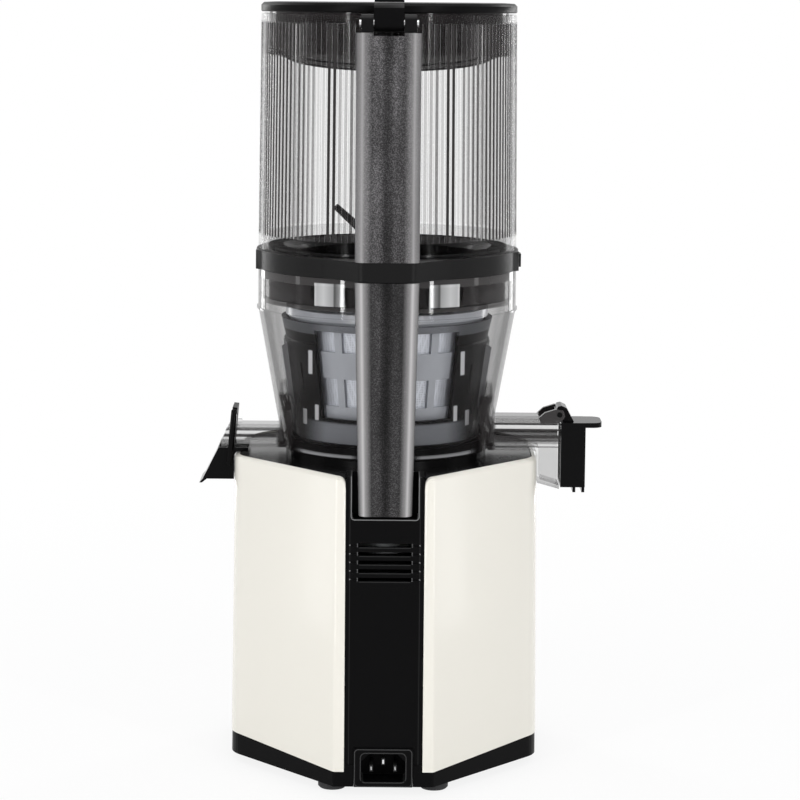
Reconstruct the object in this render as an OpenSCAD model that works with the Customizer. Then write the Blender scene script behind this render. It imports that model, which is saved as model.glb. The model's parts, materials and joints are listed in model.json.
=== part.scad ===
// Cold press juicer: a drafted housing with motor and reversed gear train, a tapered
// see-through drum with strainer, wiper cage and auger, a fluted feed hopper and a hinged lid.
// Frame: origin on the auger axis at the surface it stands on, +Z up, the user's side at -Y.
// All sizes in millimetres.

/* [Housing] */
// Width of the housing at its foot
base_w = 187; // [176:1:200]
// Distance from the auger axis to the rear face, at the foot
base_rear = 97; // [93:1:103]
// Distance from the auger axis to the front face, at the foot
base_front = 85; // [80:1:95]
// Width of the flat at the rear
rear_flat_w = 62; // [54:1:70]
// Depth at which the oblique rear faces turn into the sides
side_turn_y = 18.6; // [10:0.2:26]
// Radius of the turn from the oblique faces into the sides
side_turn_r = 20; // [12:1:26]
// Radius of the front corners
front_r = 55; // [40:1:70]
// Plan size at the housing's top edge, as a share of that at its foot
plan_taper = 0.978; // [0.96:0.002:1]
// Height of the bottom tray's band
tray_h = 13; // [10:0.5:18]
// Height of the painted shell
shell_h = 171.2; // [160:0.2:180]
// Wall of shell, tray and spine
wall = 2.8; // [2:0.2:4]
// Radius of the shell's top edge
edge_r = 4; // [2:0.5:6]
// Thickness of the top deck
deck_t = 5; // [4:0.5:7]

/* [Feet] */
// Height of the rubber feet
foot_h = 4.8; // [3:0.2:8]
// Radius of the rubber feet
foot_r = 8.5; // [6:0.5:11]
// Half distance between the rear feet
foot_rear_x = 30; // [24:1:36]
// Depth of the rear feet
foot_rear_y = 80; // [70:1:84]
// Half distance between the front feet
foot_front_x = 52; // [40:1:60]
// Depth of the front feet, towards the front
foot_front_y = 52; // [40:1:60]

/* [Rear spine] */
// Width of the spine strip
spine_w = 46; // [43:0.5:50]
// Step back of the spine from the shell's face
spine_step = 1; // [0.5:0.1:2]
// Height of the pocket floor for the drum handle's foot
pocket_z = 164; // [158:0.5:170]
// Number of vent slots
vent_count = 5; // [3:1:7]
// Length of a vent slot
vent_l = 31; // [20:1:34]
// Height of a vent slot
vent_h = 2.3; // [1.5:0.1:3]
// Pitch of the vent slots
vent_pitch = 5.05; // [4:0.05:6]
// Height of the top vent slot's upper edge
vent_z = 149.6; // [140:0.2:155]

/* [Power inlet] */
// Width of the inlet's frame
inlet_w = 34.8; // [33:0.2:37]
// Height of the inlet's frame
inlet_h = 23.3; // [22:0.1:25]
// Width of the inlet's socket
socket_w = 25.7; // [25:0.1:27]
// Height of the inlet's socket
socket_h = 16.7; // [16:0.1:18]
// Depth of the inlet's socket
socket_d = 16; // [14:0.5:18]
// Spacing of the two lower contact blades
blade_gap = 14; // [13:0.5:15]

/* [Motor and gears] */
// Radius of the motor
motor_r = 34; // [28:1:37]
// Length of the motor
motor_l = 70; // [60:1:80]
// Module of all the gears
gear_m = 1.5; // [1.4:0.1:1.6]
// Teeth of the two pinions in the gearbox
pinion_n = 14; // [14:2:16]
// Teeth of the two wheels in the gearbox
wheel_n = 42; // [38:2:44]
// Face width of the gearbox gears
gear_w = 8; // [6:0.5:9]
// Radius of the motor's and intermediate gear's axles
axle_r = 4; // [3:0.25:5]
// Radius of the drive shaft
shaft_r = 7; // [6:0.5:8]
// Width across the flats of the drive shaft's hexagon
hex_af = 12; // [10:0.5:13]

/* [Control knob] */
// Radius of the knob
knob_r = 17; // [13:0.5:22]
// Depth of the knob
knob_d = 15; // [10:0.5:20]
// Distance of the knob's axis below the gearbox plate
knob_drop = 22; // [21:0.5:30]

/* [Drum] */
// Outer radius of the drum at its foot
drum_foot_r = 63.2; // [62:0.2:66]
// Outer radius at the drum's lower bend
drum_bend_r = 68.9; // [68:0.2:70]
// Outer radius of the drum's straight top
drum_top_r = 78.5; // [77:0.5:82]
// Height of the lower bend above the drum's foot
drum_bend_h = 31.7; // [28:0.5:36]
// Height of the drum's cone above its foot
drum_cone_h = 85.7; // [82:0.5:90]
// Height of the drum above its foot
drum_h = 109.7; // [108:0.5:114]
// Wall of the drum
drum_wall = 2.6; // [2:0.1:3.2]
// Height of the drum floor's upper face above the drum's foot
floor_h = 8.2; // [7.6:0.2:9]

/* [Handle] */
// Width of the handle at its top
handle_w = 37.4; // [34:0.2:40]
// Width of the handle at its foot
handle_foot_w = 31.4; // [28:0.2:34]
// Step of the handle's rear face inside the housing's rear face
handle_step = 2; // [1:0.5:5]
// Radius of the handle's upright edges
handle_edge_r = 5.5; // [4:0.5:7]
// Clearance below the handle's foot in the housing's pocket
handle_foot_gap = 1.4; // [0.4:0.2:3]

/* [Spouts] */
// Reach of the juice spout past the housing's side
juice_out = 12.5; // [9:0.5:18]
// Width of the juice spout
juice_w = 24; // [20:0.5:28]
// Height of the juice spout's top above the drum's foot
juice_top = 18.7; // [17:0.1:20]
// Drop of the juice spout's end below the drum's foot
juice_drop = 24.6; // [20:0.2:28]
// Gap between a spout's dropped end and the housing's side
spout_gap = 0.8; // [0.5:0.1:2]
// Height of the pulp spout
pulp_h = 12.2; // [11.6:0.2:14]
// Width of the pulp spout
pulp_w = 26; // [24:0.5:30]
// Reach of the pulp spout past the housing's side
pulp_out = 2.7; // [2:0.1:6]
// Lean of the pulp mouth from upright, in degrees
pulp_lean = 26.5; // [20:0.5:30]
// Wall of both spouts
spout_wall = 1.8; // [1.4:0.1:2.2]
// Drop of the pulp chute below the drum's foot
chute_drop = 19.4; // [16:0.2:24]
// Width of the chute
chute_w = 30; // [28:0.5:34]
// Reach of the thumb paddle from the cap's hinge
paddle_l = 26; // [18:0.5:30]
// Thickness of the pulp gate
gate_t = 3; // [2.4:0.1:3.4]
// Travel of the pulp gate
gate_travel = 12; // [10:0.5:14]

/* [Strainer and cage] */
// Outer radius of the strainer's rim
strainer_top_r = 60; // [58:0.2:61]
// Outer radius of the strainer above its rounded foot
strainer_foot_r = 51; // [50:0.2:52]
// Height of the strainer
strainer_h = 72.5; // [70:0.5:74]
// Wall of the strainer
strainer_wall = 2; // [1.6:0.1:2.4]
// Mesh windows in each row
window_count = 12; // [8:1:16]
// Width of the bars between the mesh windows, in degrees
window_bar = 5; // [4:0.5:8]
// Thickness of the mesh
mesh_t = 0.6; // [0.4:0.1:0.9]
// Thickness of the wiper cage
cage_wall = 3; // [2.4:0.1:3.4]
// Gap between the strainer and the wiper cage
cage_gap = 2.2; // [1.8:0.1:2.6]
// Opening of the cage's windows, in degrees
cage_window = 86; // [60:1:100]
// Teeth of the auger's gear
sun_n = 24; // [22:2:26]
// Teeth of the cage's idler gear
idler_n = 20; // [18:2:20]

/* [Auger] */
// Radius of the auger's core at its foot
core_foot_r = 33; // [28:1:36]
// Radius of the auger's core at its top
core_top_r = 15; // [12:1:20]
// Number of flights
flight_count = 2; // [1:1:3]
// Turns of each flight
flight_turns = 1.25; // [0.75:0.05:1.75]
// Thickness of a flight at its edge
flight_t = 4; // [3:0.5:6]
// Gap between the flights and the strainer
flight_gap = 1; // [0.6:0.1:1.5]
// Height of the cutting wing above the auger's shoulder
wing_h = 50; // [40:1:54]
// Reach of the cutting wing
wing_r = 41; // [34:1:46]

/* [Hopper] */
// Height of the black collar
collar_h = 11.5; // [10:0.5:14]
// Step from the drum's outside to the hopper's foot
hopper_step = 0; // [-1:0.1:1]
// Draft of the hopper from its foot to its rim
hopper_draft = 1.5; // [0.2:0.1:2.5]
// Height of the hopper above the collar
hopper_h = 141.5; // [130:0.5:155]
// Wall of the hopper
hopper_wall_t = 2.6; // [2.2:0.1:3.2]
// Number of flutes around the hopper
flute_count = 120; // [60:4:144]
// Depth of the flutes
flute_depth = 0.7; // [0.4:0.1:1]
// Height of the smooth band below the flutes
smooth_foot = 12; // [8:0.5:20]
// Height of the smooth band above the flutes
smooth_rim = 4; // [2:0.5:8]
// Depth of the skirt that hangs into the drum
skirt_h = 17.5; // [12:0.5:18]
// Inner radius of the feed neck
neck_r = 57.5; // [55:0.5:58]

/* [Lid] */
// Thickness of the lid's plate
lid_t = 6; // [4.5:0.5:8]
// Gap between the lid and the hopper's rim
lid_gap = 0.8; // [0.4:0.1:1.5]
// Height of the hinge axis above the hopper's rim, negative when below
hinge_rise = -5; // [-7:0.5:-3]
// Distance of the hinge axis outside the hopper's rim
hinge_out = 11.5; // [11:0.5:13]
// Gap between the hopper's wall and the lid's outer locating ring
ring_gap = 2.4; // [1.6:0.2:5]
// Radius of the lid's inner tube
tube_r = 50; // [40:1:56]
// Depth of the lid's ring and tube
ring_h = 25; // [15:0.5:30]
// Radius of the hinge pin
pin_r = 2; // [1.5:0.1:2.4]
// Width of the latch at the front of the lid
latch_w = 18.8; // [14:0.2:26]

/* [Clearances] */
// Gap between parts that lift off one another
seat_gap = 0.3; // [0.2:0.05:0.5]
// Radial gap of a shaft in its bore
run_gap = 0.08; // [0.04:0.01:0.1]
// Backlash on each flank of the gears
backlash = 0.15; // [0.1:0.01:0.2]

/* [Hidden] */
eps = 0.01;
round_fn = 96;

// Heights of the housing
tray_z = foot_h;
shell_z = tray_z + tray_h;
shell_top = shell_z + shell_h;
deck_z = shell_top - deck_t;
seat_h = 2.5;
drum_z = shell_top + seat_h + seat_gap;

// Inlet
inlet_z = tray_z - 0.1;
inlet_mid = inlet_z + inlet_h / 2;
inlet_d = 24;
blade_w = 4;
blade_t = 2;
earth_rise = 4;

// Gear train of the gearbox, a reversed train with motor and drive shaft on one axis
add_f = 0.9;
ded_f = 1.15;
pressure = 22.5;
gear_c = gear_m * (pinion_n + wheel_n) / 2;
gear_dir = -135;
gear_pos = gear_c * [cos(gear_dir), sin(gear_dir)];
case_wall = 4;
case_top = deck_z - 16;
stage_gap = 2;
case_in = 2 * gear_w + 3 * stage_gap + 6;
case_z = case_top - case_wall - case_in;
plate_z = case_z - case_wall;
knob_z = plate_z - knob_drop;
stage1_z = case_z + stage_gap;
stage2_z = stage1_z + gear_w + stage_gap + 1;
case_r = gear_m * (wheel_n / 2 + add_f) + 3;
motor_z = plate_z - motor_l;
fan_z = motor_z - 14;
fan_r = 30;
bearing_r = 13;
bearing_h = 8;
post_r = 5;
screw_r = 2;
post_spots = [[30, 26], [-52, 6], [6, -50]];
board_w = 72;
board_l = 52;
board_y = 16;
board_t = 1.6;
board_stand = 6;

// Drive hexagon
hex_r = hex_af / 2 / cos(30);
hex_foot = drum_z + 1;
hex_top = hex_foot + 20;

// Drum
bend_z = drum_z + drum_bend_h;
cone_z = drum_z + drum_cone_h;
drum_top = drum_z + drum_h;
floor_z = drum_z + floor_h;
floor_t = 3;
duct_h = 5;
duct_w = 20;
foot_inner = drum_foot_r - drum_wall;
handle_rear = base_rear - handle_step;
pulp_reach = base_w / 2 + pulp_out;
through = 80;

// Gears under the strainer
idler_c = gear_m * (sun_n + idler_n) / 2;
ring_n = sun_n + 2 * idler_n;
cage_gear_h = 5;
strainer_z = floor_z + seat_gap + cage_gear_h + seat_gap + 0.3;
strainer_top = strainer_z + strainer_h;
chimney_r = 10.5;
chimney_bore = 8.5;
strainer_round = 6;
cage_foot_r = gear_m * (ring_n / 2 + ded_f) + 7;

// Auger
neck_gap = 0.6;
auger_neck_r = 14;
auger_z = floor_z + seat_gap;
auger_foot = strainer_z + strainer_wall + flight_gap;
auger_top = strainer_top + 8;

// Hopper
hopper_foot_r = drum_top_r + hopper_step;
hopper_rim_r = hopper_foot_r - hopper_draft;
collar_z = drum_top + seat_gap;
hopper_z = collar_z + collar_h;
rim_z = hopper_z + hopper_h;
skirt_r = drum_top_r - drum_wall - 0.6;
skirt_t = 2.5;
neck_t = 2.5;
drain_r = 6.5;
neck_drop = 19;
slope_h = 9;
collar_r = hopper_foot_r + 1;

// Lid and its hinge
lid_z = rim_z + lid_gap;
hinge_y = hopper_rim_r + hinge_out;
hinge_z = rim_z + hinge_rise;
ring_r = hopper_rim_r - hopper_wall_t - ring_gap;
barrel_r = 4.6;
arm_w = 17;
ear_gap = 0.4;
ear_w = 7;
ring_t = 2;
latch_z = lid_z + lid_t / 2;
latch_y = -(hopper_rim_r - 3.8);
latch_pin_r = 1.1;

// Juice spout and its cap
juice_z = drum_z + juice_top;
juice_foot = drum_z - juice_drop;
juice_floor = drum_z - 0.8;
juice_reach = base_w / 2 + juice_out;
juice_back = base_w / 2 * plan_scale(juice_foot) + spout_gap;
cap_hinge = [-(juice_reach - 0.3), juice_z + 2.5];
cap_top = juice_z - 2.2;
cap_d = 15;
cap_pin_r = 1.6;
cap_barrel_r = 3.4;

// Pulp spout, chute and gate
pulp_z = drum_z + pulp_h;
gate_lean = 5;
gate_x = pulp_reach - 1.2;
gate_foot = drum_z - 10;
gate_h = 34;
gate_w = pulp_w - 2 * spout_wall - 1;

// ---- Shared outlines ----

// Share of the foot's plan size at height z
function plan_scale(z) = 1 - (1 - plan_taper) * (z - tray_z) / (shell_top - tray_z);

module base_outline() {
    hull() {
        for (s = [-1, 1]) {
            translate([s * (base_w / 2 - side_turn_r), side_turn_y]) circle(side_turn_r, $fn = 48);
            translate([s * (rear_flat_w / 2 - 3), base_rear - 3]) circle(3, $fn = 24);
            translate([s * (base_w / 2 - front_r), front_r - base_front]) circle(front_r, $fn = 64);
        }
    }
}

// Housing plan from z0 to z1, set in by inset, with the housing's draft
module drafted(z0, z1, inset = 0) {
    translate([0, 0, z0])
        linear_extrude(z1 - z0, scale = plan_scale(z1) / plan_scale(z0))
            scale(plan_scale(z0)) offset(delta = -inset) base_outline();
}

// The same with a rounded upper edge
module drafted_round(z0, z1, r, inset = 0, steps = 4) {
    drafted(z0, z1 - r, inset);
    for (i = [0 : steps - 1]) {
        a0 = 90 * i / steps;
        a1 = 90 * (i + 1) / steps;
        drafted(z1 - r + r * sin(a0) - eps, z1 - r + r * sin(a1), inset + r * (1 - cos(a0)));
    }
}

module tube(r_out, r_in, h) {
    difference() {
        cylinder(h, r = r_out, $fn = round_fn);
        translate([0, 0, -1]) cylinder(h + 2, r = r_in, $fn = round_fn);
    }
}

module block(x0, x1, y0, y1, z0, z1) {
    translate([x0, y0, z0]) cube([x1 - x0, y1 - y0, z1 - z0]);
}

// A plate drawn in the XZ plane, y_w wide and centred on y
module side_plate(points, y_w, y = 0) {
    translate([0, y + y_w / 2, 0]) rotate([90, 0, 0]) linear_extrude(y_w) polygon(points);
}

// The same in the YZ plane, x_w wide and centred on x
module side_plate_x(points, x_w, x = 0) {
    translate([x - x_w / 2, 0, 0]) rotate([90, 0, 90]) linear_extrude(x_w) polygon(points);
}

// A cylinder along Y
module rod_y(x, z, r, length, y = 0) {
    translate([x, y + length / 2, z]) rotate([90, 0, 0]) cylinder(length, r = r, $fn = 48);
}

// A cylinder along X, centred
module rod_x(y, z, r, length, x = 0) {
    translate([x - length / 2, y, z]) rotate([0, 90, 0]) cylinder(length, r = r, $fn = 48);
}

// ---- Involute gears ----

function polar(r, a) = r * [cos(a), sin(a)];
// Roll-off angle of an involute at radius r, from base radius rb, in degrees
function roll_off(r, rb) = r <= rb ? 0 : sqrt(pow(r / rb, 2) - 1) * 180 / PI - acos(rb / r);
// Half the angle of a tooth at radius r
function half_tooth(n, r, play) =
    let (rp = gear_m * n / 2, rb = rp * cos(pressure))
    90 / n + roll_off(rp, rb) - roll_off(r, rb) - play / rp * 180 / PI;

// Outline of a gear with a tooth at the angle phase
function gear_outline(n, phase, tip, root, play) =
    let (rp = gear_m * n / 2, r0 = rp - root, r1 = rp + tip)
    let (rs = [r0, r0 + 0.3 * (r1 - r0), r0 + 0.65 * (r1 - r0), r1])
    [for (i = [0 : n - 1], k = [0 : 7])
        let (j = k < 4 ? k : 7 - k, side = k < 4 ? -1 : 1)
        polar(rs[j], phase + 360 * i / n + side * half_tooth(n, rs[j], play))];

module gear(n, phase, h) {
    linear_extrude(h)
        polygon(gear_outline(n, phase, add_f * gear_m, ded_f * gear_m, backlash));
}

// ---- Housing ----

module feet() {
    color("#1c1c1c")
        for (s = [-1, 1], p = [[foot_rear_x, foot_rear_y], [foot_front_x, -foot_front_y]])
            translate([s * p.x, p.y, 0])
                rotate_extrude($fn = 48)
                    polygon([[0, 0], [foot_r - 1, 0], [foot_r, 1], [foot_r, foot_h], [0, foot_h]]);
}

module inlet_hole(gap = 0) {
    block(-inlet_w / 2 - gap, inlet_w / 2 + gap, base_rear - inlet_d - gap, base_rear + 5,
          inlet_z - 1, inlet_z + inlet_h + gap);
}

module base_tray() {
    color("#161616")
        difference() {
            drafted(tray_z, shell_z, 0.4);
            drafted(tray_z + wall, shell_z + 1, 0.4 + wall);
            inlet_hole();
            for (p = screw_spots()) translate([p.x, p.y, tray_z - 1]) cylinder(9, r = screw_r, $fn = 24);
        }
}

// Screws that hold the tray, beside the feet
function screw_spots() =
    [for (s = [-1, 1], p = [[64, 22], [34, -68]]) [s * p.x, p.y]];

module tray_screws() {
    color("silver")
        for (p = screw_spots()) translate([p.x, p.y, tray_z]) {
            cylinder(wall + 8, r = screw_r - 0.1, $fn = 24);
            translate([0, 0, -1.6]) cylinder(1.6, r = 3.6, $fn = 24);
        }
}

module spine_gap(w, z0 = 0) {
    block(-w / 2, w / 2, base_rear - 40, base_rear + 10, z0, shell_top + 5);
}

module body_shell() {
    color("#f2efe3")
        difference() {
            union() {
                difference() {
                    drafted_round(shell_z, shell_top, edge_r);
                    drafted(shell_z - 1, shell_top + 1, wall);
                }
                for (p = screw_spots()) translate([p.x, p.y, tray_z + wall + 1]) boss_to_wall(p);
            }
            spine_gap(spine_w);
            for (p = screw_spots()) translate([p.x, p.y, tray_z]) cylinder(14, r = screw_r, $fn = 24);
            translate([0, -base_front / 2, knob_z]) rotate([90, 0, 0])
                cylinder(base_front, r = 5, $fn = 32);
        }
}

// A screw boss that a web joins to the shell's wall
module boss_to_wall(p) {
    out = abs(p.x) > abs(p.y) ? [sign(p.x), 0] : [0, sign(p.y)];
    reach = abs(p.x) > abs(p.y) ? base_w / 2 - abs(p.x) : base_front - abs(p.y);
    intersection() {
        union() {
            cylinder(24, r = 4.5, $fn = 32);
            translate([0, 0, shell_z - tray_z - wall])
                linear_extrude(14) polygon([
                    [-1.5 * out.y, -1.5 * out.x], [1.5 * out.y, 1.5 * out.x],
                    [reach * out.x + 1.5 * out.y, reach * out.y + 1.5 * out.x],
                    [reach * out.x - 1.5 * out.y, reach * out.y - 1.5 * out.x]]);
        }
        translate([-p.x, -p.y, -tray_z - wall - 1]) drafted(tray_z, shell_top, wall - 0.5);
    }
}

// Half width of the pocket that takes the handle's foot
pocket_half = handle_w / 2 + 0.6;
pocket_front = 78;

module rear_spine() {
    out_w = spine_w - 0.6;
    color("#151515")
        difference() {
            union() {
                intersection() {
                    difference() {
                        drafted(shell_z, shell_top, spine_step);
                        drafted(shell_z - 1, shell_top + 1, spine_step + wall);
                    }
                    spine_gap(out_w);
                }
                intersection() {
                    drafted(shell_z, shell_top, spine_step);
                    block(-out_w / 2, out_w / 2, pocket_front - wall, base_rear,
                          pocket_z - wall, shell_top);
                }
                vent_frame();
            }
            block(-pocket_half, pocket_half, pocket_front, base_rear + 5, pocket_z, shell_top + 5);
            inlet_hole();
            for (i = [0 : vent_count - 1])
                block(-vent_l / 2, vent_l / 2, base_rear - 20, base_rear + 5,
                      vent_z - i * vent_pitch - vent_h, vent_z - i * vent_pitch);
            for (i = [0 : vent_count - 1])
                vent_groove(vent_z - i * vent_pitch - vent_h / 2);
        }
}

// The shallow line that carries each slot on to the spine's edges
module vent_groove(z) {
    y = base_rear * plan_scale(z) - spine_step;
    block(-vent_l / 2 - 5, vent_l / 2 + 5, y - 0.6, y + 1, z - 0.5, z + 0.5);
}

// Thicker wall behind the slots
module vent_frame() {
    z0 = vent_z - vent_count * vent_pitch - 3;
    y = base_rear * plan_scale(vent_z) - spine_step - wall;
    difference() {
        block(-vent_l / 2 - 3, vent_l / 2 + 3, y - 3, y + 0.5, z0, vent_z + 5);
        block(-vent_l / 2, vent_l / 2, y - 4, y + 1, z0 + 3, vent_z + 2);
    }
}

module top_deck() {
    color("#0e0e0e")
        difference() {
            union() {
                drafted(deck_z, shell_top - 1.2, wall + 0.2);
                translate([0, 0, shell_top - 2]) tube(drum_foot_r - 2, drum_foot_r - 7, seat_h + 2);
                translate([0, 0, shell_top - 2]) cylinder(seat_h + 1.5, r = 17, $fn = 64);
                for (p = post_spots)
                    translate([p.x, p.y, case_top]) cylinder(deck_z - case_top + 1, r = post_r, $fn = 32);
                translate([0, 0, case_top]) cylinder(deck_z - case_top + 1, r = bearing_r + 4, $fn = 64);
            }
            block(-spine_w / 2 - seat_gap, spine_w / 2 + seat_gap,
                  pocket_front - wall - seat_gap, base_rear + 5, deck_z - 1, shell_top + 5);
            translate([0, 0, case_top - 1]) cylinder(60, r = shaft_r + 1.5, $fn = 48);
            translate([0, 0, case_top - 1]) cylinder(bearing_h + 1, r = bearing_r, $fn = 64);
            translate([0, 0, shell_top - 4]) cylinder(10, r = shaft_r + 5, $fn = 64);
            for (p = post_spots) translate([p.x, p.y, case_top - 1]) cylinder(12, r = screw_r, $fn = 24);
        }
}

module power_inlet() {
    y1 = base_rear + 0.4;
    c = 4.5;
    w = socket_w / 2;
    z0 = inlet_z + (inlet_h - socket_h) / 2;
    z1 = z0 + socket_h;
    color("#101010")
        difference() {
            union() {
                block(-inlet_w / 2 + 0.1, inlet_w / 2 - 0.1, y1 - 4, y1, inlet_z, inlet_z + inlet_h - 0.1);
                block(-inlet_w / 2 + 2.4, inlet_w / 2 - 2.4, base_rear - inlet_d + 0.2, y1 - 1,
                      inlet_z + 2, inlet_z + inlet_h - 2);
            }
            translate([0, y1 + 1, 0]) rotate([90, 0, 0]) linear_extrude(socket_d + 1)
                polygon([[-w, z0], [w, z0], [w, z1 - c], [w - c, z1], [c - w, z1], [-w, z1 - c]]);
        }
}

module inlet_blades() {
    y0 = base_rear + 0.4 - socket_d;
    zc = inlet_mid - 0.6;
    color("silver")
        for (p = [[-blade_gap / 2, 0], [blade_gap / 2, 0], [0, earth_rise]])
            block(p.x - blade_t / 2, p.x + blade_t / 2, y0, y0 + socket_d - 2,
                  zc + p.y - blade_w / 2, zc + p.y + blade_w / 2);
}

module power_board() {
    z = tray_z + wall;
    top = z + board_stand + board_t;
    color("darkgreen")
        for (s = [-1, 1], y = [board_y + 6, board_y + board_l - 6])
            translate([s * (board_w / 2 - 6), y, z]) cylinder(board_stand, r = 3, $fn = 24);
    color("green") block(-board_w / 2, board_w / 2, board_y, board_y + board_l, top - board_t, top);
    color("navy") {
        translate([-board_w / 4, board_y + board_l / 3, top]) cylinder(16, r = 8, $fn = 32);
        block(2, board_w / 2 - 8, board_y + 8, board_y + board_l - 18, top, top + 11.4);
    }
}

// ---- Motor and gearbox ----

module motor() {
    color("dimgray")
        difference() {
            union() {
                translate([0, 0, motor_z + 4]) cylinder(motor_l - 8, r = motor_r, $fn = round_fn);
                translate([0, 0, motor_z]) cylinder(motor_l, r = motor_r - 5, $fn = round_fn);
            }
            translate([0, 0, motor_z - 1])
                cylinder(motor_l + 2, r = axle_r + run_gap, $fn = 48);
        }
}

module motor_rotor() {
    color("silver") {
        translate([0, 0, fan_z]) cylinder(stage1_z - fan_z + eps, r = axle_r, $fn = 48);
        translate([0, 0, stage1_z]) gear(pinion_n, gear_dir, gear_w);
    }
}

module cooling_fan() {
    color("white")
        translate([0, 0, fan_z])
            difference() {
                union() {
                    cylinder(10, r = 9, $fn = 48);
                    cylinder(1.5, r = fan_r, $fn = 64);
                    for (i = [0 : 8])
                        rotate(40 * i) translate([8, -0.8, 0]) cube([fan_r - 9, 1.6, 9]);
                }
                translate([0, 0, -1]) cylinder(12, r = axle_r, $fn = 48);
            }
}

module case_outline(grow = 0) {
    hull() {
        circle(case_r + grow, $fn = 96);
        translate(gear_pos) circle(case_r + grow, $fn = 96);
    }
}

module case_lugs() {
    for (p = post_spots) translate(p) circle(post_r + 3, $fn = 32);
}

module gearbox_plate() {
    color("gray")
        translate([0, 0, plate_z])
            difference() {
                union() {
                    linear_extrude(case_wall) case_outline(case_wall);
                    linear_extrude(case_wall) case_lugs();
                    translate([0, 0, case_wall - eps]) translate(gear_pos)
                        cylinder(stage_gap - seat_gap, r = axle_r + 3, $fn = 48);
                }
                translate([0, 0, -1]) cylinder(case_wall + 2, r = axle_r + 2, $fn = 48);
                translate([gear_pos.x, gear_pos.y, -1])
                    cylinder(case_wall + 10, r = axle_r + run_gap, $fn = 48);
                for (p = post_spots)
                    translate([p.x, p.y, -1]) cylinder(case_wall + 2, r = screw_r, $fn = 24);
            }
}

module gearbox_cover() {
    color("lightgray")
        difference() {
            union() {
                translate([0, 0, case_z]) linear_extrude(case_in + case_wall) case_outline(case_wall);
                for (p = post_spots)
                    translate([p.x, p.y, case_z]) cylinder(case_in + case_wall, r = post_r + 1, $fn = 32);
            }
            translate([0, 0, case_z - 1]) linear_extrude(case_in + 1) case_outline();
            translate([0, 0, case_z]) cylinder(60, r = shaft_r + 1, $fn = 48);
            translate([gear_pos.x, gear_pos.y, case_z])
                cylinder(case_in + case_wall - 1.5, r = axle_r + run_gap, $fn = 48);
            for (p = post_spots)
                translate([p.x, p.y, case_z - 1]) cylinder(60, r = screw_r, $fn = 24);
        }
}

module gearbox_screws() {
    color("silver")
        for (p = post_spots) translate([p.x, p.y, plate_z]) {
            cylinder(case_top - plate_z + 9, r = screw_r - 0.1, $fn = 24);
            translate([0, 0, -2.2]) cylinder(2.2, r = 3.8, $fn = 24);
        }
}

module intermediate_gear() {
    color("khaki")
        translate(gear_pos) {
            translate([0, 0, plate_z + 0.5])
                cylinder(case_top - 2.2 - plate_z, r = axle_r, $fn = 48);
            translate([0, 0, stage1_z]) gear(wheel_n, gear_dir + 180 + 180 / wheel_n, gear_w);
            translate([0, 0, stage1_z + gear_w - eps])
                gear(pinion_n, gear_dir + 180, stage2_z - stage1_z + 1);
        }
}

module drive_gear() {
    color("khaki")
        difference() {
            translate([0, 0, stage2_z]) gear(wheel_n, gear_dir + 180 / wheel_n, gear_w);
            translate([0, 0, stage2_z - 1]) cylinder(gear_w + 2, r = shaft_r, $fn = 48);
        }
}

module drive_shaft() {
    color("silver") {
        translate([0, 0, stage2_z - 0.5])
            cylinder(hex_foot - stage2_z + 0.5, r = shaft_r, $fn = 48);
        translate([0, 0, hex_foot - eps]) cylinder(hex_top - hex_foot, r = hex_r, $fn = 6);
    }
}

module shaft_bearing() {
    color("silver")
        translate([0, 0, case_top]) tube(bearing_r, shaft_r + run_gap, bearing_h);
}

module shaft_seal() {
    color("black")
        translate([0, 0, shell_top - 4])
            difference() {
                rotate_extrude($fn = 64)
                    polygon([[shaft_r, 0], [shaft_r + 5, 0], [shaft_r + 5, 5], [shaft_r + 3, 5],
                             [shaft_r + 3, 3], [shaft_r, 5]]);
                translate([0, 0, -1]) cylinder(8, r = shaft_r + run_gap, $fn = 48);
            }
}

panel_y = 20 - base_front;
panel_w = 64;
switch_front = base_front * plan_scale(knob_z) - wall;

module control_board() {
    color("green")
        block(-panel_w / 2, panel_w / 2, panel_y, panel_y + board_t,
              knob_z - knob_drop, plate_z - 1);
    color("dimgray")
        for (s = [-1, 1])
            translate([s * (panel_w / 2 - 5), panel_y, knob_z - 18]) rotate([90, 0, 0])
                cylinder(switch_front + panel_y - 0.1, r = 3, $fn = 24);
}

module rotary_switch() {
    color("#333333")
        difference() {
            block(-9, 9, 0.6 - switch_front, panel_y, knob_z - 9, knob_z + 9);
            translate([0, panel_y, knob_z]) rotate([90, 0, 0])
                cylinder(through, r = 3 + run_gap, $fn = 32);
        }
}

module control_knob() {
    face = base_front * plan_scale(knob_z) + 0.8;
    color("#c9c9c9")
        translate([0, -face, knob_z]) rotate([90, 0, 0]) {
            rotate_extrude($fn = 72)
                polygon([[0, 0], [knob_r, 0], [knob_r - 0.6, knob_d - 1.5], [knob_r - 2, knob_d],
                         [0, knob_d]]);
            translate([-1.2, knob_r * 0.4, knob_d - 1]) cube([2.4, knob_r * 0.5, 1.8]);
            translate([0, 0, 0.5 - (face + panel_y)])
                cylinder(face + panel_y, r = 3, $fn = 32);
        }
}

// ---- Drum ----

// Outer profile of the drum as [radius, height] points, grown by g
function drum_profile(g) = [
    [drum_foot_r - 0.8 + g, drum_z], [drum_foot_r + g, drum_z + 0.8], [drum_bend_r + g, bend_z],
    [drum_top_r + g, cone_z], [drum_top_r + g, drum_top]
];

module drum_solid(g = 0) {
    rotate_extrude($fn = round_fn)
        polygon(concat([[0, drum_z]], drum_profile(g), [[0, drum_top]]));
}

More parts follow.
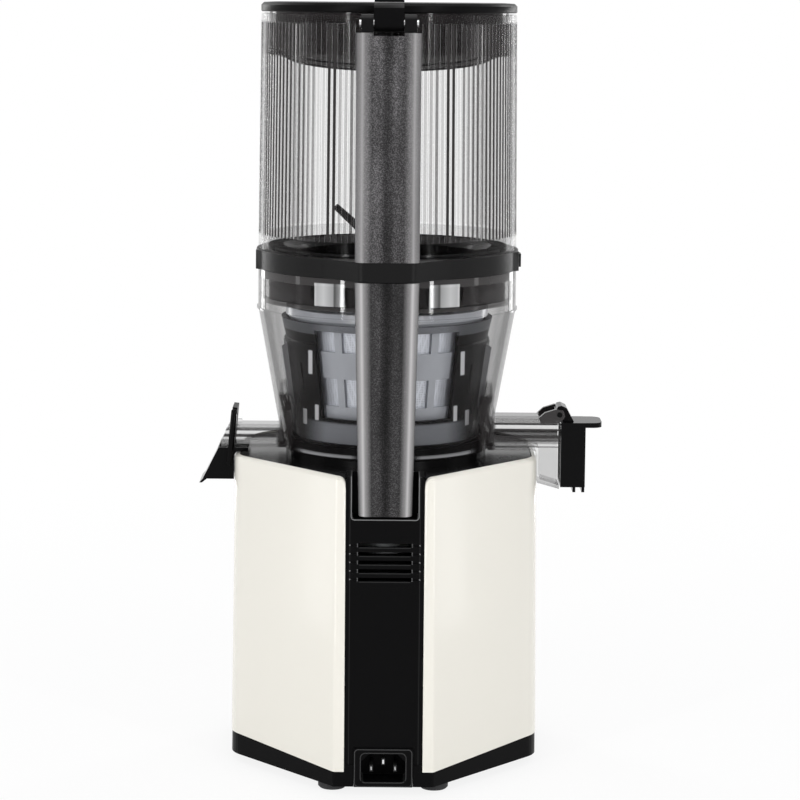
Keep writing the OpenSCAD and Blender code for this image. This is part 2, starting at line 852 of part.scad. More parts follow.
function juice_outline(t) = [
    [-(foot_inner - 2 * t - 2), juice_z - t], [-(juice_reach + t / 4), juice_z - t],
    [-(juice_reach + t / 4), juice_foot + t], [-(juice_back + t), juice_foot + 3.8 + t],
    [-(juice_back + t), juice_floor - 3 + t], [-(juice_back + t - 0.8), juice_floor - 0.8 + t],
    [-(juice_back + t - 3), juice_floor + t], [-(drum_foot_r - 0.8), juice_floor + t],
    [-(drum_foot_r - 1.6), drum_z + t], [-(foot_inner - 2 * t - 2), drum_z + t]
];

// Outline of the pulp spout, set in by t
function pulp_outline(t) = [
    [foot_inner - 2 - 2 * t, drum_z + t], [pulp_reach + tan(pulp_lean) * (pulp_h - t) + t / 4, drum_z + t],
    [pulp_reach + tan(pulp_lean) * t + t / 4, pulp_z - t], [foot_inner - 2 - 2 * t, pulp_z - t]
];

module gate_slot(gap) {
    translate([gate_x, 0, gate_foot]) rotate([0, -gate_lean, 0])
        block(-gate_t / 2 - gap, gate_t / 2 + gap, -gate_w / 2 - gap, gate_w / 2 + gap,
              -gap, gate_h + gate_travel);
}

module drum_bowl() {
    inner = [for (p = drum_profile(-drum_wall)) p.y < drum_z + 1 ? [p.x, drum_z - 1] : p];
    color([0.35, 0.35, 0.37, 0.5])
        difference() {
            union() {
                drum_solid();
                translate([0, 0, cone_z - 1])
                    rotate_extrude($fn = round_fn)
                        polygon([[drum_top_r - 1, 0], [drum_top_r + 0.8, 0.5],
                                 [drum_top_r + 0.8, 1.5], [drum_top_r - 1, 2]]);
                side_plate(juice_outline(0), juice_w);
                side_plate(pulp_outline(0), pulp_w);
                cap_bracket();
                gate_guides();
            }
            rotate_extrude($fn = round_fn)
                polygon(concat([[0, drum_z - 1]], inner, [[drum_top_r - drum_wall, drum_top + 1],
                                [0, drum_top + 1]]));
            side_plate(pulp_outline(spout_wall), pulp_w - 2 * spout_wall);
            gate_slot(seat_gap);
            // Channel of the juice spout, which dips below the groove for the cap's barrel
            difference() {
                side_plate(juice_outline(spout_wall), juice_w - 2 * spout_wall);
                rod_y(cap_hinge.x, cap_hinge.y, cap_barrel_r + seat_gap + spout_wall, juice_w);
            }
            rod_y(cap_hinge.x, cap_hinge.y, cap_barrel_r + seat_gap, barrel_l + 2 * seat_gap);
            rod_y(cap_hinge.x, cap_hinge.y, cap_pin_r, juice_w + 2);
        }
}

// Two cheeks on the juice spout that hold the cap's pin
module cap_bracket() {
    for (s = [-1, 1])
        side_plate([[cap_hinge.x + 14, juice_z - 1], [cap_hinge.x + 9, cap_hinge.y + 1.2],
                    [cap_hinge.x + 2, cap_hinge.y + 3.4], [cap_hinge.x - 2.4, cap_hinge.y + 2.6],
                    [cap_hinge.x - 3.4, cap_hinge.y - 1], [cap_hinge.x - 2, cap_hinge.y - 3.2],
                    [cap_hinge.x + 2.2, juice_z - 4]], 3, s * (juice_w / 2 - 1.5));
}

// Black-lipped guides on top of the pulp spout for the gate
module gate_guides() {
    x = gate_x - tan(gate_lean) * (pulp_z - gate_foot);
    for (s = [-1, 1])
        side_plate([[x - 4.6, pulp_z - 0.5], [x + 3, pulp_z - 0.5],
                    [x + 2.6, pulp_z + 1.4], [x - 4, pulp_z + 1.4]],
                   3, s * (pulp_w / 2 - 1.5));
}

module ring_spots(angles) {
    for (a = angles) rotate(a) translate([idler_c, 0, 0]) children();
}

module drum_floor() {
    z0 = drum_z;
    h = floor_h;
    r = foot_inner - 0.2;
    color("#101012")
        difference() {
            union() {
                translate([0, 0, z0]) cylinder(h - 1.2, r = r, $fn = round_fn);
                translate([0, 0, floor_z - 1.3])
                    tube(cage_foot_r + 2.4, cage_foot_r + 0.4, 1.8);
                translate([0, 0, z0]) cylinder(h, r = cage_foot_r - 0.6, $fn = round_fn);
                ring_spots([90, 180])
                    translate([0, 0, floor_z - 1]) cylinder(strainer_z - floor_z + 1, r = 4, $fn = 32);
                ring_spots([0])
                    translate([0, 0, floor_z - 1])
                        cylinder(strainer_z - floor_z + 1, r = chimney_r, $fn = 64);
                ring_spots([-90])
                    translate([0, 0, floor_z - 1])
                        cylinder(strainer_z - floor_z + 1, r = axle_r, $fn = 48);
            }
            translate([0, 0, z0 - 1]) cylinder(40, r = shaft_r + 4.2, $fn = 64);
            ring_spots([0])
                translate([0, 0, z0 + floor_t - 1.2]) cylinder(40, r = chimney_bore, $fn = 64);
            block(idler_c, r + 5, -duct_w / 2, duct_w / 2, z0 + 1.8, z0 + 1.8 + duct_h);
            block(-r - 5, -cage_foot_r + 6, 4 - juice_w / 2, juice_w / 2 - 4, z0 + 3, z0 + h + 5);
        }
}

module drum_seal() {
    color("#d8d8d8")
        difference() {
            translate([0, 0, drum_z + 0.4])
                rotate_extrude($fn = 64)
                    polygon([[hex_r + 1.2, 2], [shaft_r + 4.2, 0], [shaft_r + 4.2, 6],
                             [hex_r + 1.2, 4]]);
            translate([0, 0, drum_z - 1]) cylinder(10, r = hex_r + 0.5, $fn = 48);
        }
}

// Upright post with rounded rear edges: half width w0 at z0, w1 at z1, from y0 to the rear face
module handle_post(w0, w1, z0, z1, y0, inset = 0) {
    r = handle_edge_r - inset;
    hull() {
        for (s = [-1, 1], p = [[w0, z0], [w1, z1]]) {
            translate([s * (p.x - handle_edge_r), handle_rear - handle_edge_r, p.y])
                cylinder(0.1, r = r, $fn = 32);
            block(s * (p.x - inset) - 0.1, s * (p.x - inset) + 0.1, y0, y0 + 1, p.y, p.y + 0.1);
        }
    }
}

handle_foot_z = pocket_z + handle_foot_gap;
handle_t = 3;

module drum_handle() {
    color("#3a3a3d")
        difference() {
            handle_post(handle_foot_w / 2, handle_w / 2, handle_foot_z, drum_top - 0.1, pocket_front + 1);
            handle_post(handle_foot_w / 2, handle_w / 2, handle_foot_z + handle_t, drum_top - handle_t,
                        pocket_front - 3, handle_t);
            drum_solid(0);
        }
    color("#3a3a3d") handle_web(drum_z + 6, drum_top - 0.1, handle_w);
}

// Cheeks that join a handle to the round wall in front of it
module handle_web(z0, z1, w) {
    difference() {
        for (s = [-1, 1])
            block(s * (w / 2 - 3.6) - handle_t / 2, s * (w / 2 - 3.6) + handle_t / 2,
                  50, pocket_front + 1.2, z0, z1);
        drum_solid(0);
    }
}

module pulp_chute() {
    foot = drum_z - chute_drop;
    lean = tan(pulp_lean);
    x_low = pulp_reach + lean * (pulp_z - foot);
    x_high = pulp_reach + lean * (pulp_z - drum_z);
    back = base_w / 2 * plan_scale(foot) + spout_gap;
    over = shell_top + 0.4;
    color("#161616")
        difference() {
            side_plate([[pulp_reach - 12.6, drum_z], [x_high - 0.4, drum_z], [x_low - 0.4, foot],
                        [x_low + 1.6, foot - 2.4], [x_low, foot - 2.4], [x_low - 3, foot],
                        [back, foot], [back, over - 2], [back - 2, over],
                        [pulp_reach - 12.6, over]], chute_w);
            side_plate([[back + 2, foot - 5], [back + 2, over - 4], [x_high - 3, over],
                        [x_low - 2.6, foot - 5]], chute_w - 2 * 2.2);
            side_plate([[back + 2, over - 4], [x_high - 1.6, over - 4], [x_high - 1.6, drum_z + 1],
                        [back + 2, drum_z + 1]], chute_w - 2 * 5);
            gate_slot(seat_gap);
        }
}

module pulp_gate() {
    color("#111111")
        translate([gate_x, 0, gate_foot]) rotate([0, -gate_lean, 0])
            difference() {
                union() {
                    block(-gate_t / 2, gate_t / 2, -gate_w / 2, gate_w / 2, 0, gate_h - 4);
                    translate([0, 0, gate_h - 4]) rotate([90, 0, 90])
                        translate([0, 0, -gate_t / 2]) linear_extrude(gate_t)
                            intersection() {
                                circle(gate_w / 2, $fn = 64);
                                translate([-gate_w, -1]) square([2 * gate_w, 1 + 4]);
                            }
                }
                translate([0, 0, gate_h - 7]) rotate([0, 90, 0])
                    cylinder(20, r = 3, center = true, $fn = 32);
            }
}

cap_half = juice_w / 2 + 1.4;
barrel_l = juice_w - 7;
cap_face = -(juice_reach + 0.6);
cap_rear = cap_face - cap_d;

module juice_cap() {
    foot = juice_foot + 1.4;
    color("#0d0d0d")
        difference() {
            union() {
                block(cap_rear, cap_face, -cap_half, cap_half, foot, cap_top);
                side_plate([[cap_hinge.x + 2, cap_hinge.y + 2.6], [cap_hinge.x + 0.8, cap_hinge.y + 4.6],
                            [cap_hinge.x - 1.4, cap_hinge.y + 5.1], [cap_hinge.x - 4.6, cap_hinge.y + 3.6],
                            [cap_hinge.x - 9, cap_top], [cap_hinge.x - 9, cap_top - 1],
                            [cap_hinge.x - 3, cap_top - 1], [cap_hinge.x - 2, cap_hinge.y - 2]],
                           barrel_l);
                rod_y(cap_hinge.x, cap_hinge.y, cap_barrel_r, barrel_l);
                paddle();
                for (x = [cap_rear + 0.9, cap_rear + 6.4])
                    block(x - 0.9, x + 0.9, -cap_half + 3, cap_half - 3, foot - 3.6, foot + 1);
            }
            block(cap_rear + 2, cap_face + 1, 2 - cap_half, cap_half - 2, foot + 2, cap_top - 2);
            rod_y(cap_hinge.x, cap_hinge.y, cap_pin_r + run_gap, juice_w);
        }
}

// Rounded thumb plate, with its corners turned on a circle
module paddle() {
    translate([0, 0, cap_top - 3])
        linear_extrude(3)
            hull() {
                translate([cap_hinge.x - 8, 0]) square([2, juice_w + 2], center = true);
                for (s = [-1, 1])
                    translate([cap_hinge.x - paddle_l + 6, s * (juice_w / 2 - 5)]) circle(6, $fn = 48);
            }
}

module cap_plug() {
    foot = juice_foot + 1.4;
    color("#cfcfcf")
        difference() {
            block(cap_rear + 2, cap_face - 0.3, 2 - cap_half, cap_half - 2, foot + 2, cap_top - 2);
            block(cap_rear + 4.5, cap_face + 1, 5 - cap_half, cap_half - 5, foot + 5, cap_top - 5);
        }
}

module cap_pin() {
    color("silver") rod_y(cap_hinge.x, cap_hinge.y, cap_pin_r, juice_w + 1.2);
}

// ---- Strainer, wiper cage and their gears ----

function strainer_r(z) = strainer_foot_r
    + (strainer_top_r - strainer_foot_r) * (z - strainer_z - strainer_round)
      / (strainer_h - strainer_round);

// Wall of the strainer between heights z0 and z1, g outside its face, t thick
module strainer_wall_ring(z0, z1, g, t) {
    rotate_extrude($fn = round_fn)
        polygon([[strainer_r(z0) + g - t, z0], [strainer_r(z0) + g, z0],
                 [strainer_r(z1) + g, z1], [strainer_r(z1) + g - t, z1]]);
}

strainer_bend = strainer_z + strainer_round;
row_low = [strainer_z + 16, strainer_z + 33];
row_high = [strainer_z + 49, strainer_z + 62];

module window_row(row) {
    span = 360 / window_count - window_bar;
    for (i = [0 : window_count - 1])
        rotate(90 + 180 / window_count + 360 * i / window_count)
            translate([0, 0, row[0]]) linear_extrude(row[1] - row[0])
                polygon([[0, 0], polar(80, -span / 2), polar(80, span / 2)]);
}

module strainer_frame() {
    foot_r = strainer_foot_r - strainer_round;
    w = strainer_wall;
    color("#7f8894")
        difference() {
            union() {
                strainer_wall_ring(strainer_bend - eps, strainer_top, 0, w);
                rotate_extrude($fn = round_fn)
                    difference() {
                        polygon([[auger_neck_r + neck_gap, strainer_z], [foot_r, strainer_z],
                                 [strainer_foot_r - 1.8, strainer_z + 1.8],
                                 [strainer_foot_r, strainer_bend],
                                 [strainer_foot_r - w, strainer_bend],
                                 [foot_r - 1, strainer_z + w],
                                 [auger_neck_r + neck_gap, strainer_z + w]]);
                    }
                translate([0, 0, strainer_top - 5])
                    tube(strainer_top_r + 1.6, strainer_top_r - w, 5);
                for (i = [0 : 11])
                    rotate(30 * i + 15)
                        translate([0, 0, strainer_bend])
                            foot_rib();
            }
            window_row(row_low);
            window_row(row_high);
            ring_spots([0])
                translate([0, 0, strainer_z - 1]) cylinder(5, r = chimney_bore, $fn = 64);
        }
}

// Upright rib on the outside of the strainer's foot
module foot_rib() {
    z1 = row_low[0] - 2;
    rotate([90, 0, 0]) translate([0, 0, -0.6])
        linear_extrude(1.2)
            polygon([[strainer_foot_r - 1.2, 0], [strainer_foot_r + 0.8, 1],
                     [strainer_r(z1) + 0.8, z1 - strainer_bend - 1],
                     [strainer_r(z1) - 1, z1 - strainer_bend]]);
}

module strainer_mesh() {
    color("silver")
        for (row = [row_low, row_high])
            strainer_wall_ring(row[0] - 1.5, row[1] + 1.5, -strainer_wall - eps, mesh_t);
}

module cage_idler() {
    color("ivory")
        ring_spots([-90])
            translate([0, 0, auger_z])
                difference() {
                    rotate(90) gear(idler_n, 90 + 180 / idler_n, cage_gear_h);
                    translate([0, 0, -1]) cylinder(10, r = axle_r + run_gap, $fn = 48);
                }
}

function cage_r(z) = strainer_r(z) + cage_gap + cage_wall;
cage_bend = strainer_z + 4;
cage_shoulder = drum_z + 67;
cage_top = strainer_top - 6.5;

module wiper_cage() {
    half = cage_window / 2;
    color("#17181a")
        difference() {
            union() {
                difference() {
                    translate([0, 0, auger_z]) cylinder(cage_gear_h, r = cage_foot_r, $fn = round_fn);
                    translate([0, 0, auger_z - 1])
                        linear_extrude(cage_gear_h + 2)
                            polygon(gear_outline(ring_n, -90 + 180 / ring_n, ded_f * gear_m,
                                                 add_f * gear_m, -backlash));
                }
                rotate_extrude($fn = round_fn) cage_section();
            }
            for (a = [90, -90])
                rotate(a)
                    translate([0, 0, cage_bend + 5])
                        linear_extrude(cage_top - cage_bend - 9)
                            polygon([[0, 0], polar(90, -half), polar(90, half)]);
            for (a = [0, 180], s = [-1, 1]) {
                rotate(a + s * 33) cage_slit(cage_shoulder - 29, 17);
                rotate(a + s * 26) cage_slit(strainer_z + 9, 12);
            }
        }
}

// Half section of the cage: a foot flange, the leaning wall and its rim
module cage_section() {
    zf = auger_z + cage_gear_h - 2;
    r0 = strainer_foot_r + cage_gap;
    polygon([
        [cage_foot_r - 6, zf], [cage_foot_r, zf], [r0 + cage_wall, cage_bend],
        [cage_r(cage_shoulder), cage_shoulder], [cage_r(cage_shoulder) - 1, cage_shoulder + 1],
        [cage_r(cage_top), cage_top], [cage_r(cage_top) - cage_wall, cage_top],
        [cage_r(cage_shoulder) - cage_wall, cage_shoulder], [r0, cage_bend],
        [cage_foot_r - 3, zf + 2]
    ]);
}

module cage_slit(z, h) {
    translate([40, -1, z]) cube([40, 2, h]);
}

module wiper_blades() {
    z0 = cage_bend + 8;
    z1 = cage_shoulder - 2;
    color("#2b2c2e")
        for (a = [0, 180], s = [-1, 1])
            rotate(a + s * 15) rotate([90, 0, 0]) translate([0, 0, -0.9])
                linear_extrude(1.8)
                    polygon([[cage_r(z0) + seat_gap, z0], [wiper_r(z0), z0 + 2], [wiper_r(z1), z1 - 2],
                             [cage_r(z1) + seat_gap, z1]]);
}

function wiper_r(z) = cage_r(z) + 3.4;

// ---- Auger ----

function core_r(z) = core_foot_r + (core_top_r - core_foot_r) * (z - auger_foot) / (auger_top - auger_foot);
function flight_r(z) = strainer_r(max(z, strainer_bend)) - strainer_wall - mesh_t - flight_gap;

flight_top = strainer_top - 1;
flight_steps = 40;

// One flight: a leaning blade section carried round the core by a rule
module flight(start) {
    pts = [for (i = [0 : flight_steps])
        let (f = i / flight_steps, a = start + 360 * flight_turns * f)
        let (z = auger_foot + 1 + (flight_top - auger_foot - flight_t - 2) * f)
        let (out = i == 0 ? core_r(z) + 6 : flight_r(z), t = flight_t)
        for (p = [[core_r(z) - 3, 0], [out, t * 0.35], [out, t], [core_r(z) - 3, t * 1.6]])
            [p.x * cos(a), p.x * sin(a), z + p.y]];
    last = 4 * flight_steps;
    polyhedron(pts, concat(
        [[3, 2, 1, 0], [last, last + 1, last + 2, last + 3]],
        [for (i = [0 : flight_steps - 1], k = [0 : 3])
            let (a = 4 * i + k, b = 4 * i + (k + 1) % 4)
            each [[b, a + 4, a], [b + 4, a + 4, b]]]));
}

module auger() {
    color("#2e2f33")
        difference() {
            union() {
                translate([0, 0, auger_z]) gear(sun_n, -90, cage_gear_h);
                translate([0, 0, auger_z + cage_gear_h - eps])
                    cylinder(auger_foot - auger_z - cage_gear_h + 1, r = auger_neck_r, $fn = 64);
                rotate_extrude($fn = 64)
                    polygon([[0, auger_foot], [core_foot_r, auger_foot], [core_top_r, auger_top],
                             [core_top_r - 3, auger_top + 2], [0, auger_top + 2]]);
                for (i = [0 : flight_count - 1]) flight(360 * i / flight_count);
            }
            translate([0, 0, auger_z - 1]) cylinder(hex_top - auger_z + 3, r = socket_r, $fn = 48);
        }
}

socket_r = hex_r + 3;

module drive_socket() {
    color("silver")
        difference() {
            translate([0, 0, auger_z]) cylinder(hex_top - auger_z + 2, r = socket_r, $fn = 48);
            translate([0, 0, auger_z - 1])
                cylinder(hex_top - auger_z + 2, r = hex_r + 0.25, $fn = 6);
        }
}

// Curved blade that sweeps the food into the flights
module auger_wing() {
    z0 = auger_top + 2;
    color("#121212")
        intersection() {
            translate([0, 2, 0]) rotate([90, 0, 0]) linear_extrude(4)
                difference() {
                    polygon(concat(
                        [[-core_top_r + 4, z0]],
                        [for (a = [180 : -15 : 0]) [wing_r / 2 - 5 + (wing_r / 2 + 5) * cos(a) * 0.9,
                                                    z0 + wing_h * (0.25 + 0.75 * sin(a)) - 2.2]],
                        [[core_top_r - 4, z0]]));
                    translate([wing_r / 2 - 2, z0 + wing_h * 0.36]) scale([0.9, 1.15]) circle(13, $fn = 48);
                }
            translate([0, 0, z0]) cylinder(wing_h, r = wing_r, $fn = 96);
        }
}

// ---- Hopper ----

module collar_outline() {
    circle(collar_r, $fn = 96);
    hull() {
        translate([-collar_r + 0.4, 14]) square([2 * collar_r - 0.8, 6]);
        for (s = [-1, 1])
            translate([s * (handle_w / 2 - handle_edge_r), handle_rear - handle_edge_r])
                circle(handle_edge_r, $fn = 32);
    }
}

module hopper_collar() {
    color("#1a1a1b")
        difference() {
            union() {
                translate([0, 0, collar_z]) linear_extrude(collar_h) collar_outline();
                block(-collar_r - 1.6, -collar_r + 2, -4, 6, collar_z + 1, collar_z + 9);
            }
            translate([0, 0, collar_z - 1])
                cylinder(collar_h + 2, r = skirt_r - skirt_t - 0.1, $fn = round_fn);
        }
}

module hopper_skirt() {
    half_w = 17;
    color([0.2, 0.2, 0.21, 0.7])
        difference() {
            translate([0, 0, collar_z - skirt_h]) tube(skirt_r, skirt_r - skirt_t, skirt_h);
            for (a = [60, 120, -60, -120])
                rotate(a)
                    block(neck_r, drum_top_r, -half_w / 2, half_w / 2,
                          collar_z - skirt_h + 4, collar_z - 3.5);
        }
}

module hopper_floor() {
    r_out = skirt_r - skirt_t - 0.1;
    color("#141415")
        difference() {
            rotate_extrude($fn = round_fn)
                polygon([
                    [neck_r, collar_z - neck_drop], [neck_r + neck_t, collar_z - neck_drop],
                    [neck_r + neck_t, collar_z + 3], [r_out, collar_z + 3],
                    [r_out, hopper_z + slope_h], [r_out - 2, hopper_z + slope_h],
                    [neck_r + 2, hopper_z - 1], [neck_r, hopper_z - 3]
                ]);
            for (s = [-1, 1])
                translate([s * (neck_r + drain_r), 22, hopper_z - 6])
                    cylinder(30, r = drain_r, $fn = 48);
        }
}

function hopper_r(z) = hopper_foot_r + (hopper_rim_r - hopper_foot_r) * (z - hopper_z) / hopper_h;

// Ring of points with a groove of the given depth between neighbouring flats
function fluted_ring(r, depth, z) =
    let (pitch = 360 / flute_count)
    [for (i = [0 : flute_count - 1], p = [[-0.3, 0], [0.3, 0], [0.5, 1]])
        let (q = polar(r - p.y * depth, (i + p.x) * pitch))
        [q.x, q.y, z]];

// One skin of rings: up the outside, over the rim and down the inside
module hopper_wall() {
    n = 3 * flute_count;
    z1 = hopper_z + smooth_foot;
    z2 = rim_z - smooth_rim;
    rings = [
        [hopper_z, 0, 0], [z1, 0, 0], [z1 + 1, 0, flute_depth], [z2 - 1, 0, flute_depth],
        [z2, 0, 0], [rim_z, 0, 0], [rim_z, hopper_wall_t, 0], [hopper_z, hopper_wall_t, 0]
    ];
    pts = [for (q = rings) each fluted_ring(hopper_r(q[0]) - q[1], q[2], q[0])];
    color([0.45, 0.44, 0.45, 0.5])
        polyhedron(pts, [
            for (j = [0 : len(rings) - 1], i = [0 : n - 1])
                let (k = (j + 1) % len(rings), h = (i + 1) % n)
                each [[n * j + i, n * k + i, n * k + h], [n * j + i, n * k + h, n * j + h]]]);
}

module latch_catch() {
    z = rim_z - 12;
    color("#141414")
        side_plate_x([[-hopper_rim_r - 2.2, z + 1], [-hopper_r(z) - 0.05, z],
                      [-hopper_r(z + 4) - 0.05, z + 4], [-hopper_rim_r - 2.2, z + 3]], 9);
}

module hopper_solid() {
    translate([0, 0, hopper_z - 1])
        cylinder(hopper_h + 2, r1 = hopper_foot_r + 0.02, r2 = hopper_rim_r + 0.02, $fn = 120);
}

ear_x = arm_w / 2 + ear_gap;

module hopper_handle() {
    w = handle_w / 2;
    top = hinge_z - barrel_r - 1;
    color("#3a3a3d")
        difference() {
            union() {
                handle_post(w, w, hopper_z, top, pocket_front + 1);
                for (s = [-1, 1])
                    block(s * (w - 3.6) - 1.5, s * (w - 3.6) + 1.5, neck_r, pocket_front + 1.2,
                          hopper_z, top);
                for (s = [-1, 1]) ear(s);
            }
            hopper_solid();
            handle_post(w, w, hopper_z + handle_t, top - handle_t, pocket_front - 3, handle_t);
            rod_x(hinge_y, hinge_z, pin_r, through);
            block(-ear_x, ear_x, pocket_front - 4, handle_rear + 2, top - 1.5, rim_z + 20);
        }
}

// Rounded ear that carries one end of the lid's pin
module ear(s) {
    x0 = s > 0 ? ear_x : -ear_x - ear_w;
    translate([x0, 0, 0]) rotate([90, 0, 90])
        linear_extrude(ear_w)
            hull() {
                translate([hinge_y, hinge_z]) circle(5.2, $fn = 32);
                translate([hinge_y - 5.2, hinge_z - 14]) square([10.4, 2]);
            }
}

// ---- Lid ----

module lid_plate() {
    color("#0c0c0c")
        difference() {
            union() {
                translate([0, 0, lid_z])
                    rotate_extrude($fn = round_fn)
                        polygon([[0, 0], [hopper_rim_r - 0.6, 0], [hopper_rim_r, 0.6],
                                 [hopper_rim_r, lid_t - 2], [hopper_rim_r - 1.6, lid_t - 0.4],
                                 [hopper_rim_r - 8, lid_t], [0, lid_t]]);
                hinge_arm();
            }
            rod_x(hinge_y, hinge_z, pin_r + run_gap, through);
            latch_notch();
        }
}

module hinge_arm() {
    translate([-arm_w / 2, 0, 0]) rotate([90, 0, 90])
        linear_extrude(arm_w)
            union() {
                translate([hinge_y, hinge_z]) circle(barrel_r, $fn = 48);
                polygon([[hopper_rim_r - 6, lid_z + 0.4], [hopper_rim_r - 6, lid_z + lid_t - 0.6],
                         [hinge_y - 2, lid_z + lid_t - 0.6], [hinge_y + barrel_r - 0.6, lid_z + 3],
                         [hinge_y + barrel_r, hinge_z], [hinge_y - barrel_r, hinge_z],
                         [hinge_y - barrel_r, lid_z + 0.4]]);
            }
}

module latch_notch() {
    block(-latch_w / 2 - 0.4, latch_w / 2 + 0.4, latch_y - 20, latch_y + 2.8,
          lid_z - 1, lid_z + lid_t + 1);
    rod_x(latch_y, latch_z, latch_pin_r, latch_w + 8);
}

module lid_ring() {
    color([0.16, 0.16, 0.17, 0.8])
        translate([0, 0, lid_z - ring_h]) {
            tube(ring_r, ring_r - ring_t, ring_h);
            tube(tube_r, tube_r - ring_t, ring_h);
        }
}

module lid_pin() {
    color("silver") rod_x(hinge_y, hinge_z, pin_r, 2 * (ear_x + ear_w) + 2);
}

module lid_latch() {
    up = lid_t / 2 + 2.3;
    color("#141414")
        difference() {
            translate([-latch_w / 2, latch_y, latch_z]) rotate([90, 0, 90])
                linear_extrude(latch_w)
                    polygon([[1.6, -1.8], [1.8, 1.6], [0.4, 2.6], [0.2, up], [-2.4, up],
                             [-3.4, 2.4], [-7.6, 2], [-8.6, 0.6], [-8.6, -15], [-7.4, -16],
                             [-6.2, -13], [-6.4, -2.6], [-1.6, -2.4]]);
            rod_x(latch_y, latch_z, latch_pin_r + run_gap, 60);
        }
}

module latch_pin() {
    color("silver") rod_x(latch_y, latch_z, latch_pin_r, latch_w + 8);
}

feet();
base_tray();
body_shell();
rear_spine();
top_deck();
power_inlet();
inlet_blades();
tray_screws();
power_board();
motor();
motor_rotor();
cooling_fan();
gearbox_plate();
gearbox_cover();
gearbox_screws();
intermediate_gear();
drive_gear();
drive_shaft();
shaft_bearing();
shaft_seal();
control_board();
rotary_switch();
control_knob();
drum_bowl();
drum_floor();
drum_seal();
drum_handle();
pulp_chute();
pulp_gate();
juice_cap();
cap_plug();
cap_pin();
strainer_frame();
strainer_mesh();
cage_idler();
wiper_cage();
wiper_blades();
auger();
auger_wing();
drive_socket();
hopper_collar();
hopper_skirt();
hopper_floor();
hopper_wall();
hopper_handle();
latch_catch();
lid_plate();
lid_ring();
lid_pin();
lid_latch();
latch_pin();
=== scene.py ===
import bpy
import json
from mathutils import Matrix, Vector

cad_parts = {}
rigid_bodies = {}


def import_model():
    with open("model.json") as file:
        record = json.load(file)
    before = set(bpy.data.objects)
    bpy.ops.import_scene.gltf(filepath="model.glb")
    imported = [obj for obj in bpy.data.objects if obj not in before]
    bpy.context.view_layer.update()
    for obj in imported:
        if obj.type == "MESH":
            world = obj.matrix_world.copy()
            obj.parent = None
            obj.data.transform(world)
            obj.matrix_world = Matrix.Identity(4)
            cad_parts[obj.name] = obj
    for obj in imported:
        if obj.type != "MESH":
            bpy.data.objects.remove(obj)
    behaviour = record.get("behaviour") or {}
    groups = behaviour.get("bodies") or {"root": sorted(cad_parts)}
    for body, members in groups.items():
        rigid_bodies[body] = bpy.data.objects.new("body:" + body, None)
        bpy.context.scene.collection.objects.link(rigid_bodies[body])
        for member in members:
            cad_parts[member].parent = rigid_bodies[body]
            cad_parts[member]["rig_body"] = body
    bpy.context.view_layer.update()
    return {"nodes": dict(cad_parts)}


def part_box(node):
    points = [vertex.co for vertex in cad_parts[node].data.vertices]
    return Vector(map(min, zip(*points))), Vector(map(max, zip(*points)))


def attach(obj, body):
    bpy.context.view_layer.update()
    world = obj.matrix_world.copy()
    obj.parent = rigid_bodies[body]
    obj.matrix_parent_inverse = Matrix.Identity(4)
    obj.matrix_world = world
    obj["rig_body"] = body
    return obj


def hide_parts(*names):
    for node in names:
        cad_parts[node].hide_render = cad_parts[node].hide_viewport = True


bl_info = {
    "name": "Cold Press Juicer",
    "version": (1, 0, 0),
    "blender": (4, 5, 0),
    "location": "View3D > Sidebar > Juicer",
    "description": "Finishes, clear plastics and detailed pieces for a cold press juicer",
    "category": "Add Mesh",
}

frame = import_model()

import json
import math

import bmesh
import bpy
from bpy.props import (
    FloatProperty, FloatVectorProperty, IntProperty, IntVectorProperty, PointerProperty,
)
from mathutils import Matrix, Vector

NODES = frame["nodes"]
MERGE = 2e-6                            # points of a copied node closer than this are one
FLAT = math.radians(0.6)                # faces of a copied node within this angle are one

LIT_POINT = Vector((0, 0, 0.24))        # the softboxes face this
CAMERA_X = -0.0007

# Places on the pieces, in metres: "side" is the distance either way from the middle plane, others
# are heights above the floor, and each pair is from and to.
HOPPER_RIM_R = 0.077                    # outside radius of the hopper's wall at its rim
HOPPER_WALL = 0.0026                    # thickness of the hopper's wall
FLOOR_RIM = 0.3155                      # the hopper's floor is clear above this
YOKE = 0.4445                           # the upper pillar is plain black above this
UPPER_TAPER = (0.31, 0.46, 0.0187, 0.0187)      # a pillar's two heights and its half width at each
LOWER_TAPER = (0.165, 0.30, 0.0157, 0.0187)
COLLAR_EDGE = 0.0005                    # rounding of the collar's edges

DRUM_LIP = (0.2966, 0.3100)
DRUM_STEP = (0.2822, 0.2846)            # dark line below the lugs
PORT_SIDE, PORT = (0.0560, 0.0662), (0.1840, 0.2280)
SPOUT_SIDE, SPOUT = (0.0665, 0.2000), (0.1000, 0.2115)
SPOUT_SHADE_HEIGHTS = (0.186, 0.212)                # heights that the spouts' painted shade lines are spread over
# Lugs at the rear of the drum; their pale tone and bright lines are painted light
LUG_SIDE, LUG = (0.0245, 0.0425), (0.2850, 0.2985)
# Painted highlight along the drum's foot at the rear: side, then heights
FOOT_HIGHLIGHT_SIDE, FOOT_HIGHLIGHT = (0.0180, 0.0520), (0.1932, 0.1950)
BRACKET_X, BRACKET = -0.094, 0.2078     # the cap's bracket lies past this and above this

CAGE_CROWN = 0.2655                     # the cage is greyer above this
CAGE_BOWL = (0.1900, 0.2125)
# Pale patches painted on the rear of the cage as highlights: side, then heights, of each
CAGE_GLINTS = (((0.0442, 0.0466), (0.2410, 0.2555)),
             ((0.0476, 0.0500), (0.2090, 0.2185)),
             ((0.0403, 0.0425), (0.2130, 0.2225)))
